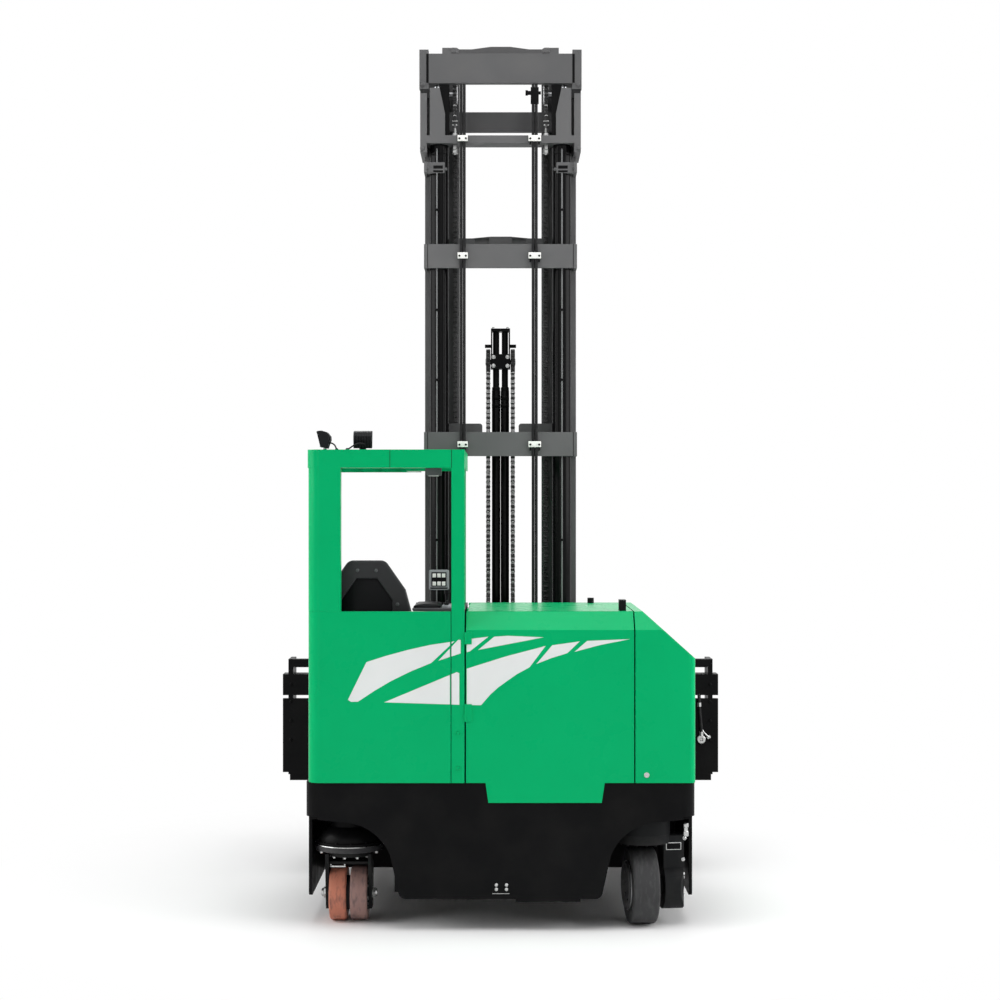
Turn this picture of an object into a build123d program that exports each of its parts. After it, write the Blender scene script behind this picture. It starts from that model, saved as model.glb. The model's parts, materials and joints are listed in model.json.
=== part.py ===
from build123d import *
from math import cos, pi, sin
import os

# Multi-directional reach truck, in millimetres.
# X is across with the battery side at +X, Y is forward towards the forks, Z is up.
# The origin is on the ground, in the middle of the truck's plan.
# A depth is measured forward from the rear face of the body.

# Driving sizes
body_half_width = 883
rear_corner_radius = 55
skirt_inset = 8
plate = 15
thin_plate = 12
panel = 25
overrun = 40

belt_bottom = 519
belt_top = 673
hood_top = 1445
hood_depth = 858
cab_depth = 1205

leg_bottom = 130
leg_top = 455
leg_front = 2330

# The mast stands behind the hood, and the forks' face stands before the mast
beam_rear = 135
mast_room = 27
mast_depth = hood_depth + mast_room + beam_rear
fork_offset = 480
fork_length = 1150
fork_face = mast_depth + fork_offset
overall_length = fork_face + fork_length

running_gap = 6
roller_play = 0.5
seat_gap = 0.3
fit_gap = 0.08


def y_at(depth):
    return depth - overall_length / 2


def block(x, d, z):
    """A box between two places across, two depths and two heights."""
    size = [b - a for a, b in (x, d, z)]
    centre = ((x[0] + x[1]) / 2, y_at((d[0] + d[1]) / 2), (z[0] + z[1]) / 2)
    return Location(centre) * Box(*size)


def upright(x, d, z, radius):
    """A vertical round bar between two heights."""
    bar = Cylinder(radius, z[1] - z[0], align=(Align.CENTER, Align.CENTER, Align.MIN))
    return Location((x, y_at(d), z[0])) * bar


def across(x, d, z, radius):
    """A round bar along X between two places across."""
    bar = Cylinder(radius, x[1] - x[0], align=(Align.CENTER, Align.CENTER, Align.MIN))
    return Location((x[0], y_at(d), z), (0, 90, 0)) * bar


def lengthwise(x, d, z, radius):
    """A round bar along Y between two depths."""
    bar = Cylinder(radius, d[1] - d[0], align=(Align.CENTER, Align.CENTER, Align.MIN))
    return Location((x, y_at(d[0]), z), (-90, 0, 0)) * bar


def plan(points, z):
    """An outline of (across, depth) points, raised between two heights."""
    outline = Polyline(*[(x, y_at(d)) for x, d in points], close=True)
    return extrude(Plane.XY.offset(z[0]) * make_face(outline), z[1] - z[0])


def facing_rear(points, d):
    """An outline of (across, height) points, run between two depths."""
    view = Plane(origin=(0, y_at(d[1]), 0), x_dir=(1, 0, 0), z_dir=(0, -1, 0))
    return extrude(view * make_face(Polyline(*points, close=True)), d[1] - d[0])


def facing_side(points, x):
    """An outline of (depth, height) points, run between two places across."""
    view = Plane(origin=(x[0], 0, 0), x_dir=(0, 1, 0), z_dir=(1, 0, 0))
    outline = Polyline(*[(y_at(d), z) for d, z in points], close=True)
    return extrude(view * make_face(outline), x[1] - x[0])


def turned(profile, x, d, z=0):
    """A closed (radius, height) outline turned round a vertical axis."""
    section = Plane.XZ * make_face(Polyline(*profile, close=True))
    return Location((x, y_at(d), z)) * revolve(section, Axis.Z)


def wheel_turned(profile, x, d, z):
    """A closed (radius, across) outline turned round a wheel's axle."""
    section = Plane.XZ * make_face(Polyline(*profile, close=True))
    return Location((x, y_at(d), z), (0, 90, 0)) * revolve(section, Axis.Z)


def above_plane(origin, normal):
    """A large block on the outer side of a slanted plane, to cut a bevel with."""
    reach = overall_length
    block_out = Box(reach, reach, reach, align=(Align.CENTER, Align.CENTER, Align.MIN))
    return Plane(origin=origin, z_dir=normal) * block_out


def both_sides(shape):
    return [shape, mirror(shape, Plane.YZ)]


def mirrored(outline):
    """An outline's right half, given bottom to top, followed by its mirror image."""
    return outline + [(-x, z) for x, z in reversed(outline)]


def prism(x, d, z, across_corners, sides):
    """An upright bar with a few equal sides between two heights, for nuts, thin rods and hoses."""
    bar = extrude(RegularPolygon(across_corners / 2, sides), z[1] - z[0])
    return Location((x, y_at(d), z[0])) * bar


# Wheels and where they stand
twin_inset = 180
twin_x = twin_inset - body_half_width
twin_depth = 270
twin_radius = 125
twin_width = 80
twin_gap = 17
twin_half_width = twin_width + twin_gap / 2

drive_inset = 228
drive_x = body_half_width - drive_inset
drive_offset = -14
drive_turn = 6.4
drive_depth = 192
drive_radius = 175
drive_width = 135
drive_leg_sweep = 193

load_inset = 185
load_x = body_half_width - load_inset
load_setback = 280
load_depth = leg_front - load_setback
load_radius = 150
load_width = 120
load_sweep = 158

hub_share = 0.62
tyre_crown = 6

# Wheel bays and legs
bay_inset = (418, 443)
bay_x = (bay_inset[0] - body_half_width, body_half_width - bay_inset[1])
bay_wall_bottom = 176
deck_top = belt_bottom
deck_bottom = deck_top - thin_plate
plate_rear = 165
plate_corner_radius = 22
bay_clearance = 20
rail_web_x = 515
rail_flange = 60
rail_bottom = 250
rail_inner_height = 104
rail_plate = 16
rail_top = rail_bottom + rail_inner_height + 2 * rail_plate
leg_nose_radius = 60
side_inner_x = body_half_width - plate

# Battery bay
battery_x = (-130, bay_x[1] - plate)
battery_depths = (150, 790)
battery_top = 1330


def side_plate():
    """One outer side plate, straight below, up to the leg's rounded nose."""
    points = [
        (plate_rear, belt_bottom),
        (plate_rear, leg_bottom),
        (leg_front, leg_bottom),
        (leg_front, leg_top),
        (hood_depth, leg_top),
        (hood_depth, belt_bottom),
    ]
    wall = facing_side(points, (side_inner_x, body_half_width))
    nose = wall.edges().filter_by(Axis.X).group_by(Axis.Y)[-1]
    wall = fillet(nose, leg_nose_radius)
    tail = wall.edges().filter_by(Axis.X).group_by(Axis.Y)[0].sort_by(Axis.Z)[0]
    return fillet(tail, plate_corner_radius)


def leg():
    """The right leg: top plate, reach rail and the bulkheads of the wheel bay."""
    top = block((rail_web_x, side_inner_x), (hood_depth - overrun, leg_front - leg_nose_radius),
                (leg_top - plate, leg_top))
    web = block((rail_web_x, rail_web_x + rail_plate), (hood_depth - overrun, leg_front),
                (leg_bottom, leg_top))
    flange_x = (rail_web_x - rail_flange, rail_web_x)
    rail_depths = (hood_depth, leg_front)
    upper = block(flange_x, rail_depths, (rail_top - rail_plate, rail_top))
    lower = block(flange_x, rail_depths, (rail_bottom, rail_bottom + rail_plate))
    inner = (rail_web_x + rail_plate, side_inner_x)
    shape = top + web + upper + lower
    for depth in (load_depth - load_sweep - bay_clearance - plate,
                  leg_front - leg_nose_radius - plate):
        shape += block(inner, (depth, depth + plate), (leg_bottom, leg_top - plate))
    return shape


def chassis():
    """Side plates, legs, wheel bay walls, deck and battery tray, welded in one."""
    shape = side_plate() + mirror(side_plate(), Plane.YZ)
    for part in both_sides(leg()):
        shape += part
    bay_depths = (skirt_inset + thin_plate, hood_depth)
    shape += block(bay_x, bay_depths, (bay_wall_bottom, bay_wall_bottom + plate))
    shape += block(bay_x, (hood_depth - plate, hood_depth), (bay_wall_bottom, deck_top))
    for inner, half in zip(bay_x, (-1, 1)):
        wall_x = sorted((inner, inner + half * plate))
        shape += block(wall_x, bay_depths, (bay_wall_bottom, deck_bottom))
        deck_x = sorted((inner, half * side_inner_x))
        shape += block(deck_x, bay_depths, (deck_bottom, deck_top))
        shape += block(deck_x, (hood_depth - plate, hood_depth), (leg_bottom, deck_bottom))
    shape -= upright(drive_x, drive_depth, (deck_bottom - overrun, deck_top + overrun), motor_radius)
    return shape - reach_cylinder(reach_barrel_radius + seat_gap, (hood_depth - overrun, hood_depth))


# Belt and skirt round the base
arch_shoulder = (690, 492)
arch_middle = (560, 431)
arch_foot = (500, 345)
hem_corner = (456, 147)
hem_radius = 34
skirt_edge_drop = 14
lip_x = (69, 361)
lip_z = (135, 152)


def belt_outline(inset, rear, left_end, right_end):
    """The base's plan as a U with round rear corners, inset from the outer face."""
    half = body_half_width - inset
    radius = rear_corner_radius - inset
    width = 2 * half
    length = max(left_end, right_end) - rear
    slab = Location((0, y_at(rear + length / 2))) * Rectangle(width, length)
    corners = slab.vertices().group_by(Axis.Y)[0]
    return fillet(corners, radius)


def base_belt():
    """The dark belt under the panels, and the rear skirt with its two arches."""
    outer = belt_outline(0, skirt_inset, cab_depth, cab_depth)
    inner = belt_outline(plate, skirt_inset + plate, cab_depth + overrun, cab_depth + overrun)
    ring = extrude(Plane.XY.offset(belt_bottom) * (outer - inner), belt_top - belt_bottom)
    front_right = block((0, body_half_width + overrun), (hood_depth, cab_depth + overrun),
                        (belt_bottom - overrun, belt_top + overrun))
    ring -= front_right
    half = body_half_width - rear_corner_radius
    top = belt_bottom + overrun
    edge = belt_bottom - skirt_edge_drop
    right = [
        Line((half, top), (half, edge)),
        Line((half, edge), arch_shoulder),
        ThreePointArc(arch_shoulder, arch_middle, arch_foot),
        Line(arch_foot, hem_corner),
        Line(hem_corner, (0, hem_corner[1])),
        Line((0, hem_corner[1]), (0, top)),
        Line((0, top), (half, top)),
    ]
    view = Plane(origin=(0, y_at(skirt_inset + thin_plate), 0), x_dir=(1, 0, 0), z_dir=(0, -1, 0))
    half_skirt = extrude(view * make_face(right), thin_plate)
    hem = half_skirt.edges().filter_by(Axis.Y).group_by(Axis.Z)[0].sort_by(Axis.X)[-1]
    half_skirt = fillet(hem, hem_radius)
    skirt = half_skirt + mirror(half_skirt, Plane.YZ)
    lip = block(lip_x, (skirt_inset, skirt_inset + thin_plate + panel), lip_z)
    return ring + skirt + lip


# Steering mounts above the wheels
ring_radius = 155
ring_height = 29
ring_bottom = 331
dome_top = 440
dome_neck_radius = 90
load_ring_bottom = 372
load_ring_radius = 150
drive_casting_bottom = 418
motor_radius = 112
motor_top = 900
motor_flange_radius = 128


def steer_mounts():
    """The fixed halves of the four steering bearings, each hung from its plate."""
    twin = turned(
        [
            (0, ring_bottom + ring_height / 2),
            (ring_radius, ring_bottom + ring_height / 2),
            (ring_radius, ring_bottom + ring_height),
            (dome_neck_radius, dome_top),
            (dome_neck_radius, deck_bottom),
            (0, deck_bottom),
        ],
        twin_x, twin_depth)
    solids = [twin]
    for sign in (1, -1):
        solids.append(upright(sign * load_x, load_depth,
                              (load_ring_bottom + ring_height, leg_top - plate), load_ring_radius))
    return Compound(solids)


def drive_motor():
    """The upright traction motor on its casting, one plain heavy block above the deck."""
    casting = upright(drive_x, drive_depth, (drive_casting_bottom, deck_bottom), motor_flange_radius)
    motor = upright(drive_x, drive_depth, (deck_bottom, motor_top), motor_radius - seat_gap)
    return casting + motor


# Steered twin wheels at the rear left
fork_plate_x = 107
fork_plate_thickness = 16
fork_plate_bottom = 58
fork_plate_half = 92
twin_axle_radius = 18
twin_bolt_end = 128
scraper_gap = 14
pivot_plate_z = (305, 331)


def twin_fork():
    """The steered fork: turntable, crown, side plates and the axle bolt."""
    crown = upright(twin_x, twin_depth, pivot_plate_z, fork_plate_x)
    table = upright(twin_x, twin_depth,
                    (pivot_plate_z[1], ring_bottom + ring_height / 2 - seat_gap), ring_radius)
    shape = crown + table
    inner = fork_plate_x - fork_plate_thickness
    top = pivot_plate_z[0] + plate
    for sign in (1, -1):
        x = sorted((twin_x + sign * inner, twin_x + sign * fork_plate_x))
        foot = twin_depth
        points = [
            (foot - fork_plate_half, top),
            (foot - fork_plate_half / 2, fork_plate_bottom),
            (foot + fork_plate_half / 2, fork_plate_bottom),
            (foot + fork_plate_half, top),
        ]
        shape += facing_side(points, x)
    cross_z = 2 * twin_radius + scraper_gap
    shape += block((twin_x - inner, twin_x + inner),
                   (twin_depth - fork_plate_half / 2, twin_depth + fork_plate_half / 2),
                   (cross_z, cross_z + thin_plate))
    shape += across((twin_x - twin_bolt_end, twin_x + twin_bolt_end), twin_depth, twin_radius,
                    twin_axle_radius)
    return shape


def tyre_profile(radius, bore, half_width):
    return [
        (bore, -half_width),
        (radius - tyre_crown, -half_width),
        (radius, -half_width + tyre_crown),
        (radius, half_width - tyre_crown),
        (radius - tyre_crown, half_width),
        (bore, half_width),
    ]


def twin_tyres():
    solids = []
    offset = (twin_width + twin_gap) / 2
    bore = twin_radius * hub_share
    for sign in (1, -1):
        profile = tyre_profile(twin_radius, bore, twin_width / 2)
        solids.append(wheel_turned(profile, twin_x + sign * offset, twin_depth, twin_radius))
    return Compound(solids)


def twin_hubs():
    """One cored hub through both wheels, running on the axle bolt."""
    bore = twin_axle_radius + fit_gap
    rim = twin_radius * hub_share
    half = twin_half_width
    dish = thin_plate
    profile = [
        (bore, -half),
        (rim - dish, -half + dish),
        (rim, -half),
        (rim, half),
        (rim - dish, half - dish),
        (bore, half),
    ]
    return wheel_turned(profile, twin_x, twin_depth, twin_radius)


# Drive unit at the rear right
drive_leg_offset = (88, 183)
drive_leg_x = (drive_x + drive_leg_offset[0], drive_x + drive_leg_offset[1])
drive_leg_half = 62
drive_leg_top = 410
drive_hub_radius = 95
drive_axle_radius = 45


def steered(shape):
    """The drive unit is parked a little turned, round its own steering axis."""
    axis = Location((drive_x, y_at(drive_depth), 0))
    return axis * Rotation(0, 0, drive_turn) * axis.inverse() * shape


def drive_leg():
    """The steered gearbox leg beside the drive wheel, under its round flange."""
    top = drive_casting_bottom - seat_gap
    flange = upright(drive_x, drive_depth, (drive_leg_top - rail_plate * 2, top), motor_flange_radius)
    housing = block(drive_leg_x, (drive_depth - drive_leg_half, drive_depth + drive_leg_half),
                    (drive_radius, drive_leg_top))
    gear = across(drive_leg_x, drive_depth, drive_radius, drive_leg_half * 2 - plate)
    sweep = upright(drive_x, drive_depth, (leg_bottom - leg_bottom / 2, top), drive_leg_sweep)
    leg_shape = (housing + gear) & sweep
    axle_end = drive_x + drive_offset + drive_width / 2
    axle = across((axle_end - rail_plate, drive_leg_x[0] + rail_plate), drive_depth, drive_radius,
                  drive_axle_radius)
    return steered(flange + leg_shape + axle)


def drive_tyre():
    profile = tyre_profile(drive_radius, drive_radius * hub_share, drive_width / 2)
    return steered(wheel_turned(profile, drive_x + drive_offset, drive_depth, drive_radius))


def drive_hub():
    """The dished wheel centre; its outer end is open round the leg's axle."""
    rim = drive_radius * hub_share
    half = drive_width / 2
    bore = drive_axle_radius + fit_gap
    end = half - rail_plate - seat_gap
    profile = [
        (0, -half + panel),
        (bore, -half + panel),
        (rim - thin_plate, -half),
        (rim, -half),
        (rim, half),
        (rim - thin_plate, half),
        (bore, end),
        (0, end),
    ]
    return steered(wheel_turned(profile, drive_x + drive_offset, drive_depth, drive_radius))


# Load wheels in their turrets
turret_plate_x = 76
turret_plate_thickness = 12
turret_half = 78
turret_top_z = (345, 372)
load_axle_radius = 22


def load_turret(sign):
    """A steered turret: round table, two cheeks and the axle."""
    x = sign * load_x
    shape = upright(x, load_depth, turret_top_z, load_ring_radius)
    shape += upright(x, load_depth,
                     (turret_top_z[1], load_ring_bottom + ring_height - seat_gap),
                     load_ring_radius - ring_height)
    for side_sign in (1, -1):
        inner = x + side_sign * turret_plate_x
        outer = inner + side_sign * turret_plate_thickness
        points = [
            (load_depth - turret_half, turret_top_z[0] + plate),
            (load_depth - turret_half / 2, load_radius - turret_half / 2),
            (load_depth + turret_half / 2, load_radius - turret_half / 2),
            (load_depth + turret_half, turret_top_z[0] + plate),
        ]
        shape += facing_side(points, sorted((inner, outer)))
    reach = turret_plate_x + turret_plate_thickness + running_gap
    shape += across((x - reach, x + reach), load_depth, load_radius, load_axle_radius)
    return shape


def load_wheel(sign):
    """A load wheel: tread and cored hub in one, running on the turret's axle."""
    bore = load_axle_radius + fit_gap
    half = load_width / 2
    rim = load_radius * hub_share
    profile = [
        (bore, -half + thin_plate),
        (rim - thin_plate, -half + thin_plate),
        (rim, -half),
        (load_radius - tyre_crown, -half),
        (load_radius, -half + tyre_crown),
        (load_radius, half - tyre_crown),
        (load_radius - tyre_crown, half),
        (rim, half),
        (rim - thin_plate, half - thin_plate),
        (bore, half - thin_plate),
    ]
    return wheel_turned(profile, sign * load_x, load_depth, load_radius)


# Green body panels
door_x = (-156, 604)
door_gap = 6
bevel_start = 1365
bevel_depth = 80
slope_top_x = 648
slope_foot_z = 1234
corner_rear_x = 668
corner_side_x = 855
tab_share = (0.116, 0.825)
tab_taper = 13
tab_height = 90
tab_thickness = 4
post_x = (-222, -163)
hinge_radius = 3.3
hinge_x = (post_x[1] + door_x[0]) / 2
hinge_depth = -hinge_radius
hinge_leaf = 26
hinge_heights = ((950, 1030), (1300, 1355))


def bevel_height(depth):
    return bevel_start + (hood_top - bevel_start) * depth / bevel_depth


def slope_height(x):
    fall = (hood_top - slope_foot_z) / (body_half_width - slope_top_x)
    return hood_top - (x - slope_top_x) * fall


def hood_mass(inset, x):
    """The whole hood's outer form between two places across, inset by a wall."""
    right = min(x[1], body_half_width - inset)
    rise = hood_top - bevel_start
    span = body_half_width - slope_top_x
    drop = hood_top - slope_foot_z
    shape = block((x[0], right), (inset, hood_depth + (overrun if inset else 0)),
                  (belt_top - (overrun if inset else 0), hood_top - inset))
    shape -= above_plane((0, y_at(inset), bevel_start - inset), (0, -rise, bevel_depth))
    side_low = (body_half_width - inset, 0, slope_foot_z - inset)
    shape -= above_plane(side_low, (drop, 0, span))
    first = Vector(corner_rear_x, 0, slope_height(corner_rear_x))
    second = Vector(corner_side_x, 0, slope_height(corner_side_x))
    third = Vector(slope_top_x, bevel_depth, hood_top)
    normal = (third - first).cross(second - first)
    if normal.Z < 0:
        normal = normal * -1
    corner = (corner_rear_x - inset, y_at(inset), slope_height(corner_rear_x) - inset)
    return shape - above_plane(corner, tuple(normal))


def corner_panel():
    """The fixed corner cover beside the battery door, a bent sheet open below."""
    left = door_x[1] + door_gap
    outer = hood_mass(0, (left, body_half_width))
    upright_edge = outer.edges().filter_by(Axis.Z).group_by(Axis.X)[-1].sort_by(Axis.Y)[0]
    outer = fillet(upright_edge, rear_corner_radius - panel)
    inner = hood_mass(panel, (left - overrun, body_half_width))
    return outer - inner


def rear_door():
    """The battery door with its bent top over the bevel and its tab over the belt."""
    outer = hood_mass(0, door_x)
    inner = hood_mass(panel, (door_x[0] - overrun, door_x[1] + overrun))
    sheet = outer - inner
    sheet -= block((door_x[0] - overrun, door_x[1] + overrun), (bevel_depth, hood_depth + overrun),
                   (belt_top - overrun, hood_top + overrun))
    sheet -= block((door_x[0] - overrun, door_x[1] + overrun), (0, bevel_depth),
                   (belt_top - overrun, belt_top + seat_gap))
    width = door_x[1] - door_x[0]
    left = door_x[0] + tab_share[0] * width
    right = door_x[0] + tab_share[1] * width
    top = belt_top + seat_gap
    tab = facing_rear(
        [(left, top + tab_taper), (right, top + tab_taper), (right, top),
         (right - tab_taper, top - tab_height), (left + tab_taper, top - tab_height), (left, top)],
        (0, tab_thickness))
    shape = sheet + tab
    for z in hinge_heights:
        shape += upright(hinge_x, hinge_depth, z, hinge_radius)
        shape += block((hinge_x, door_x[0] + hinge_leaf), (hinge_depth, 0), z)
    return shape


slot_x = (185, 257)
slot_depths = (96, 116)
slot_drop = 6
lid_hinge_radius = 5
lid_hinge_length = 70
lid_hinge_depths = (180, 690)


def hood_lid():
    """The flat lid over the battery, a shallow tray turned upside down."""
    x = (post_x[1] + door_gap * 2, door_x[1])
    d = (bevel_depth + door_gap, hood_depth)
    top = block(x, d, (hood_top - panel, hood_top))
    rim = thin_plate
    hollow = block((x[0] + rim, x[1] - rim), (d[0] + rim, d[1] - rim),
                   (hood_top - panel - overrun, hood_top - thin_plate))
    shape = top - hollow
    shape -= block(slot_x, slot_depths, (hood_top - slot_drop, hood_top + overrun))
    for depth in lid_hinge_depths:
        shape += lengthwise(x[0], (depth, depth + lid_hinge_length), hood_top, lid_hinge_radius)
    return shape


def hood_bulkhead():
    """The battery bay's front wall, which closes the hood and carries the lid."""
    d = (hood_depth - plate, hood_depth)
    slab = block((post_x[1], body_half_width), d, (belt_top, hood_top - panel - seat_gap))
    upper = slab & hood_mass(panel + seat_gap, (post_x[1], body_half_width))
    lower = block((post_x[1], side_inner_x), d, (deck_top, belt_top))
    return upper + lower


handle_x = (545, 575)
handle_depths = (110, 190)
handle_rise = 50
knob_x = 446
knob_radius = 16
knob_rise = 26


def lid_fittings():
    """The lift handle near the rear edge and the round knob near the front one."""
    outer = block(handle_x, handle_depths, (hood_top, hood_top + handle_rise))
    hole = block((handle_x[0] - overrun, handle_x[1] + overrun),
                 (handle_depths[0] + thin_plate, handle_depths[1] - thin_plate),
                 (hood_top, hood_top + handle_rise - thin_plate))
    knob = upright(knob_x, hood_depth - panel * 2, (hood_top, hood_top + knob_rise), knob_radius)
    return Compound([outer - hole, knob])


# Cab: rear panel, tub and overhead guard
guard_half_x = 877
cab_left = -873
window_sill = 1448
window_head = 2098
window_left = -723
guard_depth = 83
guard_top = window_head + guard_depth
guard_ring = 60
guard_step_x = -408
pillar = 50
cab_floor = 605
entry_rear = 345
side_panel_top = 1120
front_wall_top = 1240


def cab_rear_panel():
    """The panel below the rear window, bent round the corner to the entry."""
    x = (cab_left, post_x[0] - seat_gap * 10)
    outer = block(x, (0, entry_rear), (belt_top, window_sill))
    corner = outer.edges().filter_by(Axis.Z).group_by(Axis.X)[0].sort_by(Axis.Y)[0]
    outer = fillet(corner, rear_corner_radius)
    inner = block((x[0] + panel, x[1] + overrun), (panel, entry_rear + overrun),
                  (belt_top - overrun, window_sill + overrun))
    shape = outer - inner
    slope = facing_side(
        [(rear_corner_radius * 2, window_sill + overrun), (rear_corner_radius * 2, window_sill),
         (entry_rear, side_panel_top), (entry_rear + overrun, side_panel_top),
         (entry_rear + overrun, window_sill + overrun)],
        (cab_left - overrun, cab_left + panel + overrun))
    return shape - slope


def guard_plan(inset):
    left = -guard_half_x + inset
    right = post_x[1] - inset
    step = guard_step_x - inset
    return [
        (left, inset),
        (right, inset),
        (right, hood_depth - inset),
        (step, hood_depth - inset),
        (step, cab_depth - inset),
        (left, cab_depth - inset),
    ]


def overhead_guard():
    """Roof frame with its four posts; the right rear post runs down to the belt."""
    z = (window_head, guard_top)
    frame = plan(guard_plan(0), z) - plan(guard_plan(guard_ring), (z[0] - overrun, z[1] + overrun))
    rear_left = frame.edges().filter_by(Axis.Z).group_by(Axis.X)[0].sort_by(Axis.Y)[0]
    frame = fillet(rear_left, rear_corner_radius)
    low = (window_sill, window_head)
    left_pillar = block((cab_left, window_left), (0, pillar), low)
    wing = block((cab_left, cab_left + pillar), (0, rear_corner_radius * 2), low)
    left_pillar += wing
    edge = left_pillar.edges().filter_by(Axis.Z).group_by(Axis.X)[0].sort_by(Axis.Y)[0]
    left_pillar = fillet(edge, rear_corner_radius - seat_gap * 10)
    post = block(post_x, (0, guard_ring), (belt_top, window_head))
    front_left = block((-guard_half_x, -guard_half_x + pillar), (cab_depth - pillar, cab_depth),
                       (belt_top, window_head))
    front_right = block((post_x[0], post_x[0] + pillar), (hood_depth - pillar, hood_depth),
                        (hood_top, window_head))
    return frame + left_pillar + post + front_left + front_right


roof_bar_width = 22
roof_bar_drop = (49, 9)
roof_bar_z = (guard_top - roof_bar_drop[0], guard_top - roof_bar_drop[1])
roof_bar_count = 5


def roof_bars():
    """Flat bars across the roof opening, from front to rear."""
    left = -guard_half_x + guard_ring
    right = post_x[1] - guard_ring
    step = guard_step_x - guard_ring
    pitch = (right - left) / (roof_bar_count + 1)
    solids = []
    for index in range(roof_bar_count):
        x = left + pitch * (index + 1)
        deep = x + roof_bar_width / 2 < step
        end = (cab_depth if deep else hood_depth) - guard_ring
        solids.append(block((x - roof_bar_width / 2, x + roof_bar_width / 2),
                            (guard_ring, end), roof_bar_z))
    return Compound(solids)


def cab_tub():
    """Floor, right wall, the step in the wall beside the mast, and the front wall."""
    left = -side_inner_x
    right = post_x[1]
    rear = skirt_inset + plate
    floor = plan([(left, rear + rear_corner_radius), (left + rear_corner_radius, rear),
                  (right, rear), (right, hood_depth),
                  (guard_step_x, hood_depth), (guard_step_x, cab_depth), (left, cab_depth)],
                 (cab_floor - plate, cab_floor))
    wall = thin_plate
    right_wall = block((right - wall, right), (guard_ring, hood_depth), (cab_floor, hood_top))
    step_wall = block((guard_step_x - wall, right), (hood_depth - wall, hood_depth),
                      (cab_floor, hood_top))
    inner_wall = block((guard_step_x - wall, guard_step_x), (hood_depth - wall, cab_depth),
                       (cab_floor, front_wall_top))
    front_x = (-guard_half_x + pillar, guard_step_x)
    front = block(front_x, (cab_depth - wall, cab_depth), (cab_floor, front_wall_top))
    return floor + right_wall + step_wall + inner_wall + front


# Seat and controls
seat_x = -615
seat_half_width = 215
seat_top = 1675
seat_floor = 1010
shell_back = 150
cushion_thickness = 110
cushion_length = 470
pad_thickness = 75
shell_half = ((seat_half_width, seat_floor), (205, 1440), (178, 1540), (84, seat_top))
shell_round = 42
shell_ease = 9
recess_half = ((118, 1150), (118, 1493), (48, 1593))
recess_drop = 7


def seat_form(rows, inset, d):
    """A form across the seat from (half width, height) rows, between two depths."""
    outline = mirrored([(half - inset, z) for half, z in rows])
    return Location((seat_x, 0, 0)) * facing_rear(outline, d)


def seat_back(inset, d):
    back = seat_form(shell_half, inset, d)
    corners = back.edges().filter_by(Axis.Y).group_by(Axis.Z)[-1]
    return fillet(corners, shell_round)


def seat_shell():
    """The moulded shell behind the backrest, with a recess pressed into it."""
    shell = seat_back(0, (shell_back, shell_back + panel))
    shell = fillet(shell.faces().sort_by(Axis.Y)[0].edges(), shell_ease)
    return shell - seat_form(recess_half, 0, (0, shell_back + recess_drop))


def seat_pads():
    """Backrest and cushion as plain closed forms with eased edges."""
    start = shell_back + panel + seat_gap
    back = seat_back(thin_plate, (start, start + pad_thickness))
    top = seat_floor + cushion_thickness
    cushion = block((seat_x - seat_half_width, seat_x + seat_half_width),
                    (start + pad_thickness + seat_gap, start + pad_thickness + cushion_length),
                    (seat_floor, top))
    return Compound([back, cushion])


def seat_base():
    """Pedestal and slide plate under the seat, with the bracket of the shell."""
    half = seat_half_width - panel
    front = shell_back + pad_thickness + cushion_length - overrun
    box = block((seat_x - half, seat_x + half), (shell_back + panel, front),
                (cab_floor, seat_floor - plate))
    rail = block((seat_x - seat_half_width, seat_x + seat_half_width),
                 (shell_back, front + overrun / 2), (seat_floor - plate, seat_floor - seat_gap))
    return box + rail


armrest_x = (-419, -232)
armrest_top = 1461
armrest_depths = (420, 700)
armrest_leg_depths = (460, 540)
armrest_thickness = 45
armrest_round = 16
button_radius = 12
button_rise = 6


def armrest():
    """The right armrest with its button, on a leg down to the floor."""
    top = block(armrest_x, armrest_depths, (armrest_top - armrest_thickness, armrest_top))
    top = fillet(top.edges().filter_by(Axis.Y), armrest_round)
    middle = (armrest_x[0] + armrest_x[1]) / 2
    leg_bar = block((middle - panel, middle + panel), armrest_leg_depths,
                    (cab_floor, armrest_top - armrest_thickness))
    button = upright(armrest_x[1] - panel, armrest_depths[0] + panel,
                     (armrest_top, armrest_top + button_rise), button_radius)
    return top + leg_bar + button


display_x = (-350, -252)
display_z = (1514, 1612)
display_depth = 700
display_thickness = 28
display_round = 8
key_size = 15
key_rise = 3
key_pitch = (26, 42)
stalk_radius = 9
stalk_x = -262


def display():
    """The keypad with its two rows of three keys, on a stalk from the floor."""
    head = block(display_x, (display_depth, display_depth + display_thickness), display_z)
    head = fillet(head.edges().filter_by(Axis.Y), display_round)
    centre_x = sum(display_x) / 2
    centre_z = sum(display_z) / 2
    for column in (-1, 0, 1):
        for row in (-1 / 2, 1 / 2):
            x = centre_x + column * key_pitch[0]
            z = centre_z + row * key_pitch[1]
            head += block((x - key_size / 2, x + key_size / 2), (display_depth - key_rise, display_depth),
                          (z - key_size / 2, z + key_size / 2))
    stalk = upright(stalk_x - stalk_radius, display_depth + display_thickness / 2,
                    (cab_floor, display_z[0]), stalk_radius)
    return head + stalk


console_top = 1180
column_x = -640
column_depth = 1000
column_boss_radius = 40
handwheel_radius = 130
handwheel_rim = 14
handwheel_hub_radius = 28
handwheel_hub_height = 40
handwheel_z = 1290
console_foot = 845
console_rear = 960
console_lip = 80
knee_depth = 1085
pedal_width = 40
pedal_x = (-600, -520)
pedal_profile = ((1085, 605), (965, 605), (1045, 685), (1085, 865), (1125, 865))


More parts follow.
